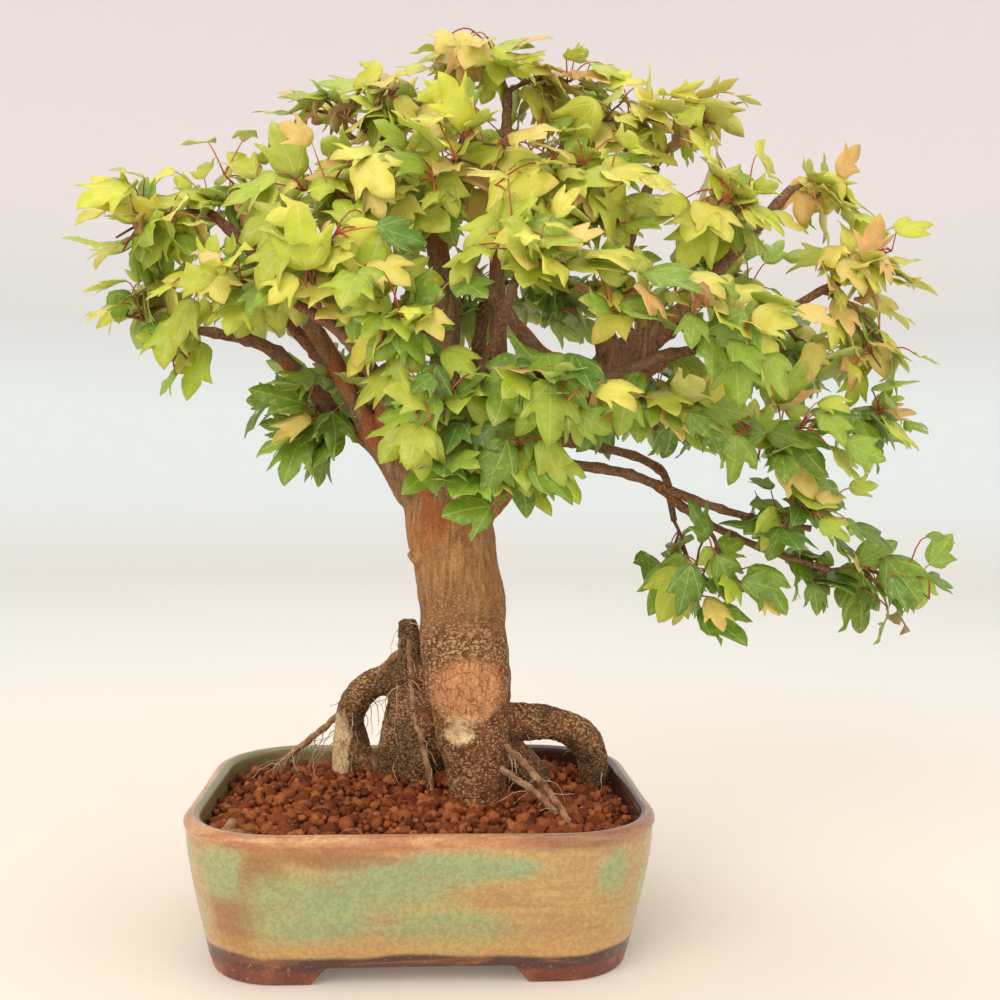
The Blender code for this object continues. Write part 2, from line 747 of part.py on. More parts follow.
def make_leaf(name, centre, spread, twig_points, foliage, rng, collection):
    """One leaf in a free place of the shoot, its stalk from the twig, or nothing if there is none."""
    outward = outward_from_trunk(centre)
    for attempt in range(PLACES_TRIED):
        way = any_way(rng)
        blade_middle = centre + Vector(s * w for s, w in zip(spread, way)) * rng.uniform(0.3, 1.0)
        length = LEAF_LENGTH * (1 + rng.uniform(-LEAF_LENGTH_VARIES, LEAF_LENGTH_VARIES))
        start = twig_points[1].lerp(twig_points[2], rng.random())
        face_way = outward * 0.7 + UP * 0.8 + any_way(rng) * 0.35
        tip_way = (blade_middle - start).normalized() + outward * 0.4 - UP * 0.7 + any_way(rng) * 0.5
        tip_way.normalize()
        base = blade_middle - tip_way * length / 2
        stalk = base - start
        if not STALK_SHORTEST < stalk.length < STALK_LONGEST:
            continue
        if tip_way.dot(stalk.normalized()) < STRAIGHTEST_BEND:
            continue
        wide = leaf_shape(
            base, tip_way, face_way, length, start, LEAF_THICKNESS + 2 * GAP, STALK_WIDTH + 2 * GAP
        )
        if not foliage.is_clear(*wide, skip=name):
            continue
        corners, faces = leaf_shape(base, tip_way, face_way, length, start, LEAF_THICKNESS, STALK_WIDTH)
        blade = BVHTree.FromPolygons(*wide)
        if any(blade.overlap(other) for owner, other, _, _ in foliage.placed if owner == name + "_leaf"):
            continue
        foliage.keep(name + "_leaf", corners, faces)
        bm = bmesh.new()
        verts = [bm.verts.new(corner) for corner in corners]
        for f in faces:
            bm.faces.new([verts[i] for i in f])
        return object_from(bm, name + "_leaf", collection)
    return None


def make_shoot(name, place, spread, foliage, rng, collection):
    """A twig with its leaves, grown again if their union isn't one closed body."""
    centre = Vector(place) * MM
    spread = Vector(spread) * MM
    name = "shoot_" + name
    for attempt in range(PLACES_TRIED):
        twig, points = make_twig(name, centre, spread, foliage, rng, collection)
        leaves = []
        for _ in range(LEAVES_PER_SHOOT):
            leaf = make_leaf(name, centre, spread, points, foliage, rng, collection)
            if leaf:
                leaves.append(leaf)
        combine(twig, leaves, "UNION")
        if weld(twig) and len(leaves) >= FEWEST_LEAVES:
            return twig
        remove(twig)
        foliage.forget(name)
    raise RuntimeError("no room for the leaves of " + name)


def stand_over_origin(objects):
    """Moves everything sideways, so that the middle of the whole box is over the origin."""
    corners = [vert.co for obj in objects for vert in obj.data.vertices]
    shift = Vector(
        (
            -(min(c.x for c in corners) + max(c.x for c in corners)) / 2,
            -(min(c.y for c in corners) + max(c.y for c in corners)) / 2,
            -min(c.z for c in corners),
        )
    )
    for obj in objects:
        obj.location = shift


def main():
    clear_scene()
    rng = random.Random(7)
    bonsai = new_collection("bonsai_tree_in_a_pot")
    glaze = material("pot_glaze", (0.45, 0.32, 0.16), 0.3)
    earth = material("soil_granules", (0.22, 0.07, 0.03), 0.95)
    bark = material("bark", (0.25, 0.15, 0.08), 0.85)
    leaf = material("leaf", (0.25, 0.42, 0.08), 0.5)
    plastic = material("net_plastic", (0.03, 0.03, 0.03), 0.6)
    wire = material("clip_wire", (0.6, 0.6, 0.62), 0.35)

    made = [(make_pot(bonsai), glaze)]
    for side, x in hole_places().items():
        made.append((make_net(side, x, bonsai), plastic))
        made.append((make_clip(side, x, bonsai), wire))
    tree = make_tree(bonsai)
    made.append((tree, bark))
    made.append((make_soil(bonsai, rng), earth))
    foliage = Foliage(tree)
    for name, (place, spread) in SHOOTS.items():
        made.append((make_shoot(name, place, spread, foliage, rng, bonsai), leaf))
    for obj, look in made:
        obj.data.materials.clear()
        obj.data.materials.append(look)
    stand_over_origin([obj for obj, _ in made])


main()
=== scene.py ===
import functools
import math
import random

import bmesh
import bpy
from bpy.props import FloatProperty, FloatVectorProperty, IntProperty, PointerProperty
from mathutils import Matrix, Vector, noise
from mathutils.kdtree import KDTree


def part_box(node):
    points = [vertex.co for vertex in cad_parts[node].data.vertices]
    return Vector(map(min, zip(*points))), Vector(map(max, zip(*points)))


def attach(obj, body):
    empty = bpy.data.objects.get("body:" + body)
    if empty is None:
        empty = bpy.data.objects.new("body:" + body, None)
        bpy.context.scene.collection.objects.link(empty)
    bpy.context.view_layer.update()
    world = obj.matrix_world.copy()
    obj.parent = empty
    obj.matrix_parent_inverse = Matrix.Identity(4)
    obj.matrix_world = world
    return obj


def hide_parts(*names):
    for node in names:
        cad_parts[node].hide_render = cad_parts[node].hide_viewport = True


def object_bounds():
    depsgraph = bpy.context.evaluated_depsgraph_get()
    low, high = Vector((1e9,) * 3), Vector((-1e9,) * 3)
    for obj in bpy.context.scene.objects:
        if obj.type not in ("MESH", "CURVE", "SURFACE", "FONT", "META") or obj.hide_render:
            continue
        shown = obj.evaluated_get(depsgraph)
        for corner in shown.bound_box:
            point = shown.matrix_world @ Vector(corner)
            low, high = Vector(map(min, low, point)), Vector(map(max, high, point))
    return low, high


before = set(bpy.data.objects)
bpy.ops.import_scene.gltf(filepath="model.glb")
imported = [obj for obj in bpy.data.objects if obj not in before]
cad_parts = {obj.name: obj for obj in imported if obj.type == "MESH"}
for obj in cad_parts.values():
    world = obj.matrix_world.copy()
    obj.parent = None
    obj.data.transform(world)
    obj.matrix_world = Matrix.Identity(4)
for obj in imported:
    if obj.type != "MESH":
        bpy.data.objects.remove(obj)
CAD_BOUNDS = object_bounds()

bl_info = {
    "name": "Bonsai tree in a pot",
    "version": (1, 0, 0),
    "blender": (4, 5, 0),
    "location": "3D View > Sidebar > Bonsai",
    "description": "A maple bonsai with surface roots in a glazed pot, built around its CAD model",
    "category": "Add Mesh",
}

MM = 0.001
UP = Vector((0, 0, 1))

# The middle of the pot's foot, from which every route and place below is measured.
POT_LOW, POT_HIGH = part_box("pot")
MIDDLE = Vector(((POT_LOW.x + POT_HIGH.x) / 2, (POT_LOW.y + POT_HIGH.y) / 2, POT_LOW.z))
POT_LENGTH = POT_HIGH.x - POT_LOW.x
POT_DEPTH = POT_HIGH.y - POT_LOW.y
POT_HEIGHT = POT_HIGH.z - POT_LOW.z

# How far a leaf may be placed outside the CAD model's box, before it bends, and the share of that
# which it may use at the low and the high end of each way.
MOST_OUTSIDE = 7 * MM
LOW_OUTSIDE = (0.3, 1, 0)
HIGH_OUTSIDE = (1, 1, -0.3)

# Tree: each route is a list of (x, y, z, radius) in millimetres. A branch runs from its thick end to
# its tip, the trunk upwards, and a root from the wood that it leaves down into the soil.
TRUNK = [
    (28, -1, 24, 15), (27, -2, 44, 14), (26, -2, 58, 13.4), (23.5, 0, 86, 16.8), (20.5, 2, 110, 19.6),
    (18.5, 3, 130, 20.4), (17.5, 4, 148, 20.2), (14.5, 5, 168, 19.2), (12.5, 5, 186, 19.4),
    (13, 5, 203, 17), (14, 5, 214, 10),
]
ROOTS = {
    "old_stump": [
        (-8, 26, 137, 4.5), (-6, 26, 118, 7), (-5, 25, 92, 8.5), (-4, 24, 66, 9.5), (-3, 24, 42, 9),
    ],
    "arching_left": [
        (4, 22, 112, 8), (-12, 28, 108, 7.5), (-25, 34, 104, 7.5), (-34, 40, 93, 7.5), (-37, 44, 76, 7.2),
        (-38, 46, 56, 7),
    ],
    "stump_shoulder": [(16, 10, 108, 9), (4, 20, 92, 10), (0, 26, 70, 11), (0, 28, 46, 11)],
    "arching_right": [
        (30, 6, 92, 10), (46, 12, 90, 8.5), (63, 18, 88, 8.2), (77, 24, 80, 8.2), (84, 28, 66, 7.4),
        (83, 28, 48, 6.4),
    ],
    "right_shoulder": [(30, 6, 80, 10), (42, 16, 70, 11), (54, 24, 58, 10), (58, 26, 46, 9)],
    "thin_arch_left": [
        (-8, 26, 124, 2), (-20, 32, 112, 1.9), (-33, 40, 98, 1.7), (-49, 46, 80, 1.6), (-66, 48, 66, 1.5),
        (-72, 48, 52, 1.4),
    ],
    "thin_down_left": [
        (-7, 22, 128, 1.8), (-5, 18, 100, 1.8), (0, 12, 80, 1.6), (4, 10, 62, 1.5), (5, 9, 50, 1.5),
    ],
    "thin_right_long": [
        (36, -4, 84, 1.8), (46, -12, 76, 1.6), (55, -26, 68, 1.5), (63, -42, 58, 1.4), (65, -47, 50, 1.3),
    ],
    "thin_right_short": [(34, -8, 74, 1.7), (45, -16, 68, 1.6), (57, -28, 60, 1.5), (62, -34, 50, 1.4)],
    "buried_left": [(24, 0, 50, 10), (-5, -8, 42, 6), (-45, -30, 38, 3.5)],
    "buried_back": [(26, 2, 48, 10), (22, 35, 40, 6), (10, 60, 36, 3.5)],
}
BRANCHES = {
    "limb_left_middle": [
        (12, 4, 196, 13), (8, 3, 218, 9.5), (8, 2, 250, 7.8), (8, 0, 283, 6.5), (2, 0, 318, 4.6),
        (-12, 2, 344, 3.6), (-25, 2, 362, 3),
    ],
    "leader": [
        (20, 6, 200, 10), (27, 8, 222, 6), (33, 8, 260, 4.6), (32, 6, 315, 3.6), (35, 4, 356, 2.8),
        (36, 4, 385, 2),
    ],
    "limb_right": [
        (18, 4, 192, 15), (42, 2, 216, 10.5), (52, 0, 234, 8.8), (73, 0, 245, 7.6), (84, 0, 261, 5.9),
        (108, 2, 278, 4.4), (125, 4, 291, 3.7), (146, 6, 316, 3.2), (172, 8, 345, 2.2),
    ],
    "limb_left": [
        (4, 4, 192, 11), (-12, 2, 207, 6.5), (-28, 0, 231, 5), (-42, -2, 257, 4.4), (-57, -4, 280, 3.8),
        (-78, 2, 306, 2.8), (-100, 6, 326, 2),
    ],
    "outer_left": [
        (-6, 6, 196, 7), (-22, 8, 218, 4.6), (-42, 8, 234, 4), (-69, 6, 262, 3.2), (-94, 2, 270, 2.4),
        (-126, 0, 273, 1.7),
    ],
    "second_left": [
        (2, 2, 204, 7), (-14, -2, 227, 4.4), (-25, -4, 248, 3.8), (-33, -6, 267, 3.4), (-50, -8, 297, 2.8),
        (-64, -4, 330, 2),
    ],
    "top_left": [(4, 0, 310, 4.5), (10, -2, 340, 3), (20, -4, 372, 2)],
    "top_right": [(32, 6, 322, 3.6), (52, 6, 348, 2.8), (70, 2, 368, 2)],
    "upper_right": [(82, 2, 256, 4.4), (87, 6, 290, 3), (96, 4, 324, 2.5), (106, 4, 352, 2)],
    "crossing": [(74, 0, 244, 5), (48, -8, 267, 3.2), (33, -12, 284, 2.8), (14, -18, 306, 2)],
    "right_upper_side": [
        (84, 4, 254, 4.2), (102, 6, 257, 3.3), (124, 3, 267, 2.9), (158, 0, 279, 2.4), (180, 0, 293, 2),
        (200, 0, 303, 1.6),
    ],
    "right_middle_side": [(72, 0, 242, 4), (104, -4, 230, 2.2), (140, -8, 226, 1.8), (172, -4, 232, 1.4)],
    "right_low": [
        (26, 0, 198, 8), (44, -4, 209, 3.6), (66, -6, 212, 2.6), (94, -6, 208, 2.3), (118, -6, 199, 2.1),
        (146, -6, 190, 1.8), (180, -4, 184, 1.4),
    ],
    "right_low_fork": [(106, -6, 204, 2.2), (128, 0, 188, 1.9), (160, 6, 174, 1.7), (192, 4, 164, 1.4)],
    "right_low_back": [(50, 0, 226, 5), (78, 10, 222, 2.4), (112, 16, 211, 2), (120, 18, 186, 1.5)],
    "back_middle": [(16, 10, 200, 9), (20, 36, 232, 5), (26, 58, 268, 3.6), (30, 66, 304, 2.4)],
    "back_left": [(6, 12, 200, 8), (-26, 40, 236, 4.4), (-58, 56, 270, 3.2), (-84, 60, 298, 2)],
    "back_right": [(50, 4, 232, 8), (84, 34, 252, 4.4), (120, 54, 278, 3.2), (150, 60, 306, 2)],
    "front_left": [(4, -4, 204, 8), (-14, -30, 236, 4), (-34, -46, 264, 2.8), (-62, -42, 282, 1.8)],
    "front_middle": [(16, -6, 202, 8), (20, -30, 226, 4), (28, -46, 260, 2.8), (36, -52, 288, 1.8)],
    "front_right": [(46, -2, 222, 8), (66, -26, 240, 4), (92, -46, 256, 2.8), (118, -52, 262, 1.8)],
}

# Foliage: each shoot fills a place (x, y, z) to a spread (x, y, z), all in millimetres.
SHOOTS = {
    "top_left": ((22, -5, 399), (19, 15, 14)),
    "top_middle": ((58, 10, 392), (19, 15, 15)),
    "top_right": ((92, -8, 368), (20, 16, 17)),
    "top_tip_right": ((128, 14, 376), (13, 12, 14)),
    "upper_left": ((-14, 0, 372), (23, 16, 14)),
    "upper_left_tip": ((-50, 8, 376), (14, 10, 8)),
    "upper_middle": ((14, -34, 340), (28, 16, 20)),
    "upper_right_middle": ((72, -38, 328), (23, 16, 20)),
    "left_middle_high": ((-36, -24, 328), (25, 18, 19)),
    "left_high": ((-88, 14, 334), (24, 18, 18)),
    "left_tip": ((-126, -8, 312), (19, 18, 18)),
    "left_tip_low": ((-132, 5, 280), (18, 16, 14)),
    "left_low_hang": ((-112, -14, 256), (9, 9, 10)),
    "left_middle": ((-80, -34, 286), (22, 17, 16)),
    "middle_left": ((-42, -60, 292), (20, 14, 18)),
    "middle_front_left": ((-11, -68, 268), (20, 14, 17)),
    "front_low_left": ((2, -70, 228), (22, 14, 15)),
    "left_underside": ((-48, 2, 230), (18, 16, 18)),
    "front_low": ((32, -60, 210), (21, 14, 18)),
    "middle_front": ((38, -68, 300), (20, 14, 18)),
    "front_right_low": ((50, -74, 240), (17, 13, 15)),
    "middle_right": ((86, -66, 280), (21, 14, 17)),
    "right_high": ((134, -18, 326), (21, 16, 19)),
    "right_top_tip": ((190, 8, 344), (15, 12, 14)),
    "right_tip_high": ((204, -5, 308), (18, 15, 16)),
    "right_tip_middle": ((208, 5, 270), (18, 15, 16)),
    "right_middle": ((128, -66, 262), (22, 14, 15)),
    "right_middle_low": ((98, -44, 234), (22, 15, 15)),
    "right_low": ((154, -26, 226), (26, 16, 17)),
    "right_low_tip": ((214, 8, 232), (14, 14, 17)),
    "cascade_left": ((132, -20, 162), (17, 14, 18)),
    "cascade_middle": ((178, -12, 190), (20, 15, 15)),
    "cascade_inner": ((122, 16, 164), (12, 10, 11)),
    "cascade_tip": ((226, -4, 156), (17, 14, 17)),
    "cascade_low": ((192, 12, 156), (14, 12, 12)),
    "back_top": ((50, 48, 358), (26, 15, 20)),
    "back_upper_left": ((-20, 52, 340), (26, 16, 18)),
    "back_left": ((-84, 66, 300), (26, 15, 18)),
    "back_middle": ((10, 74, 292), (26, 14, 20)),
    "back_low_left": ((-38, 56, 248), (24, 16, 17)),
    "back_middle_right": ((82, 72, 300), (26, 14, 19)),
    "back_right": ((150, 60, 308), (24, 15, 19)),
    "back_low_right": ((116, 56, 246), (26, 16, 17)),
    "back_tip_right": ((184, 42, 262), (20, 15, 17)),
}

# Gaps in the front of the crown that show the limbs behind: a leaf in front of CLEARING_BACK keeps
# out of each box between two corners (across, up).
CLEARING_BACK = 24
CLEARINGS = [
    ((24, 268), (34, 352)), ((2, 255), (16, 284)), ((-58, 232), (-36, 262)), ((-40, 206), (-14, 240)),
    ((-84, 242), (-60, 262)), ((68, 246), (104, 268)), ((62, 192), (132, 212)), ((72, 216), (100, 232)),
    ((124, 292), (143, 312)), ((-118, 288), (-100, 300)), ((50, 318), (60, 336)), ((96, 330), (108, 350)),
]

# Short stubs, knots and swellings that only the looks show, as routes: on the trunk, on the limbs,
# and at the foot of the old stump and of the left arch.
KNOBS = {
    "knob": [(4, -2, 165, 5), (-4, -4, 168, 2.8), (-7.5, -4, 171.5, 1.6)],
    "limb_knot": [(84, 0, 262, 5), (81, -6, 268, 4.8), (79.5, -9, 270.5, 3.8)],
    "low_knot": [(20, -6, 214, 12), (22, -12, 226, 6)],
    "left_flare": [(6, 4, 176, 14), (-2, 4, 200, 9)],
    "stump_side": [(-10, 27, 106, 5), (-13, 30, 86, 6.5), (-15, 32, 66, 7.5), (-16, 33, 46, 8)],
    "arch_foot": [(-34, 43, 80, 6), (-30, 41, 66, 6.5), (-20, 37, 56, 6.5), (-14, 33, 46, 6)],
}
# The knobs that are as mossy as the old stump; their dark moss is partly painted shade, for the deep shadow
# at the left of the trunk.
DARK_ROOTS = ("stump_side", "arch_foot")
# The healed scar and the raw cut on the trunk's front: middle across and up, half width and height,
# and how far back each reaches.
SCAR = (20, 110, 17.5, 17, 4)
RAW_CUT = (16.5, 90, 7.2, 5.2, 0)
# The grooves in the healed scar, each across and up.
SCAR_GROOVES = ((14.5, 108), (27.5, 106))
# The soil's heap behind the trunk, in millimetres: middle across and back, half width, half depth.
SOIL_HEAP = (22, 34, 64, 26)
# How the hair roots are shared out among the roots that carry them.
HAIR_ROOT_SHARES = {
    "thin_arch_left": 8,
    "thin_down_left": 4,
    "old_stump": 4,
    "arching_left": 4,
    "thin_right_long": 2,
    "thin_right_short": 1,
    "arching_right": 2,
    "stump_shoulder": 3,
}
# Thin roots that only the looks show: the short stub in the soil's front left corner.
THIN_EXTRAS = {
    "corner_stub": [(-84, -52, 55, 2.6), (-81, -49, 58, 2.2), (-79, -48, 62, 1.5)],
    "corner_stub_side": [(-84, -52, 56, 1.6), (-76, -54, 58, 1.2), (-70, -55, 57, 0.9)],
}

# The camera: its place in millimetres, and its turn, tilt and roll in radians.
CAMERA_PLACE = (-1.15, -550, 206)
CAMERA_YAW = 0.0647
CAMERA_PITCH = 0.0189
CAMERA_ROLL = 0.0121
# How near and how far it sees, in metres, and its sensor's width in millimetres.
CAMERA_CLIP = (0.01, 50)
SENSOR_WIDTH = 36
# Soft lights: name, place and aim in metres, size, power and colour.
LIGHTS = (
    ("key", (-0.8, -1.25, 1.15), (0.0, 0.0, 0.2), 1.3, 16, (1.0, 0.985, 0.96)),
    ("fill", (1.3, -0.9, 0.8), (0.0, 0.0, 0.2), 1.4, 6, (0.96, 0.98, 1.0)),
    ("above", (0.1, 0.3, 2.2), (0.0, 0.0, 0.1), 2.0, 14, (1.0, 1.0, 1.0)),
)
# The light that comes from all round: its colour and strength.
SKY = (0.93, 0.96, 1.0)
SKY_STRENGTH = 0.7

# What the random draws of each part start from.
SOIL_SEED = 11
WOOD_SEED = 5
FOLIAGE_SEED = 21

# The leafy pieces in the order in which they are built, and how the names of their shoots start.
CROWN_PARTS = {
    "top": ("top_", "upper_"),
    "left": ("left_",),
    "front": ("middle_", "front_"),
    "right": ("right_",),
    "cascade": ("cascade_",),
    "back": ("back_",),
}
# The spread of a shoot of middling size, and how full the hanging shoots are beside the others.
MIDDLING_SPREAD = (22, 15, 17)
CASCADE_SHARE = 0.8


def colour(red, green, blue):
    """A screen colour, 0 to 255 a channel, as the linear colour that a shader takes."""
    channels = [c / 255 for c in (red, green, blue)]
    return tuple(c / 12.92 if c <= 0.04045 else ((c + 0.055) / 1.055) ** 2.4 for c in channels)


def length_property(name, description, default):
    return FloatProperty(
        name=name, description=description, default=default, min=0, subtype="DISTANCE", unit="LENGTH"
    )


def colour_property(name, description, default):
    return FloatVectorProperty(
        name=name, description=description, default=default, min=0, max=1, size=3, subtype="COLOR"
    )


class BonsaiPotSettings(bpy.types.PropertyGroup):
    wall: length_property("Wall", "Thickness of the pot's wall", 6 * MM)
    floor: length_property("Floor", "Thickness of the pot's floor", 5.5 * MM)
    corner: length_property("Corner", "Radius of the pot's corners at the rim", 42 * MM)
    lean: length_property("Lean", "How far the wall stands in at the foot", 12 * MM)
    bead: length_property("Bead", "How far the rim stands proud of the wall", 0.7 * MM)
    foot_height: length_property("Foot height", "Height of the feet", 7.5 * MM)
    foot_ring: length_property("Foot width", "Width of the feet from outside to inside", 13 * MM)
    front_slot: length_property("Front opening", "Width at the ground between the front feet", 88 * MM)
    side_slot: length_property("Side opening", "Width at the ground between the side feet", 70 * MM)
    slot_slope: length_property("Opening slope", "How far a foot's end slopes", 6 * MM)
    rounding: length_property("Rounding", "Rounding of the feet's edges", 1.1 * MM)
    hole_radius: length_property("Drain hole", "Radius of the drain holes", 6 * MM)
    hole_place: length_property("Drain hole place", "Distance of a drain hole from the middle", 48 * MM)
    unevenness: length_property("Unevenness", "How far the hand-made wall strays", 0.35 * MM)
    ochre: colour_property("Ochre", "Main colour of the glaze", colour(188, 146, 92))
    green: colour_property("Green", "Colour of the glaze's green patches", colour(152, 172, 122))
    brown: colour_property("Brown", "Colour of the glaze where it is thin", colour(158, 96, 50))
    clay: colour_property("Clay", "Colour of the bare clay on the feet", colour(118, 56, 36))
    purple: colour_property("Purple brown", "Colour of the dark band above the feet", colour(82, 46, 38))


class BonsaiSoilSettings(bpy.types.PropertyGroup):
    below_rim: length_property("Below the rim", "Depth of the soil's edge under the rim", 8 * MM)
    mound: length_property("Mound", "Rise of the soil in the middle", 2.5 * MM)
    heap: length_property("Heap", "Rise of the soil behind the trunk, under the arching roots", 8 * MM)
    spacing: length_property("Spacing", "Distance between granules", 3.7 * MM)
    smallest: length_property("Smallest granule", "Smallest granule's width", 2.4 * MM)
    largest: length_property("Largest granule", "Largest granule's width", 8.6 * MM)
    clay: colour_property("Granules", "Main colour of the granules", colour(146, 76, 38))
    dark: colour_property("Dark granules", "Colour of the darkest granules", colour(96, 46, 24))
    light: colour_property("Light granules", "Colour of the lightest granules", colour(188, 114, 66))


class BonsaiWoodSettings(bpy.types.PropertyGroup):
    voxel: length_property("Mesh size", "Size of the faces on the trunk, roots and limbs", 1.15 * MM)
    thin: length_property("Thin wood", "Radius under which a branch is drawn on its own", 3.4 * MM)
    bumps: length_property("Bumps", "Height of the bark's larger bumps", 0.9 * MM)
    grain: length_property("Grain", "Height of the bark's grain", 0.35 * MM)
    hair_roots: IntProperty(name="Hair roots", description="Number of hair roots", default=120, min=0)
    tan: colour_property("Smooth bark", "Colour of the trunk's smooth bark", colour(174, 124, 72))
    dark: colour_property("Old bark", "Colour of the bark near the roots", colour(124, 76, 44))
    speck: colour_property("Specks", "Colour of the specks in the old bark", colour(226, 188, 136))
    peeled: colour_property("Peeled bark", "Colour where the bark has peeled", colour(168, 92, 46))
    cut: colour_property("Cut wood", "Colour of cut and healed wood", colour(232, 164, 110))
    moss: colour_property("Moss", "Colour of the moss on the roots", colour(88, 76, 42))
    twig: colour_property("Young bark", "Colour of the bark on thin branches", colour(128, 86, 58))


class BonsaiFoliageSettings(bpy.types.PropertyGroup):
    leaves: IntProperty(name="Leaves", description="Leaves on a shoot of middling size", default=31, min=1)
    length: length_property("Leaf length", "Length of a leaf without its stalk", 22.5 * MM)
    thickness: length_property("Leaf thickness", "Thickness of a leaf", 0.28 * MM)
    apart: length_property("Apart", "Least distance between the middles of two leaves", 6.6 * MM)
    twig_radius: length_property("Twig radius", "Radius of a shoot's twig where it starts", 0.95 * MM)
    stalk_radius: length_property("Stalk radius", "Radius of a leaf's stalk", 0.42 * MM)
    vein: colour_property("Veins", "Colour of the leaf's veins", colour(214, 222, 140))
    stalk: colour_property("Stalk", "Colour of the leaf stalks", colour(196, 84, 62))


class BonsaiStageSettings(bpy.types.PropertyGroup):
    lens: FloatProperty(name="Lens", description="Focal length in millimetres", default=42.84, min=1)
    radius: length_property("Floor radius", "Radius of the level floor", 1.9)
    sweep: length_property("Sweep", "Radius of the curve between floor and wall", 0.9)
    height: length_property("Wall height", "Height of the wall round the floor", 3.2)
    cream: colour_property("Floor", "Colour of the floor", colour(229, 218, 203))
    far: colour_property("Far floor", "Colour of the floor away from the pot", colour(224, 222, 214))
    pale: colour_property("Low wall", "Colour of the low part of the wall", colour(223, 230, 228))
    middle: colour_property("Middle wall", "Colour of the middle of the wall", colour(217, 216, 213))
    high: colour_property("High wall", "Colour of the high part of the wall", colour(228, 220, 218))


# How soft the edge of a coloured patch is, as a share of its reach.
PATCH_EDGE = 0.45


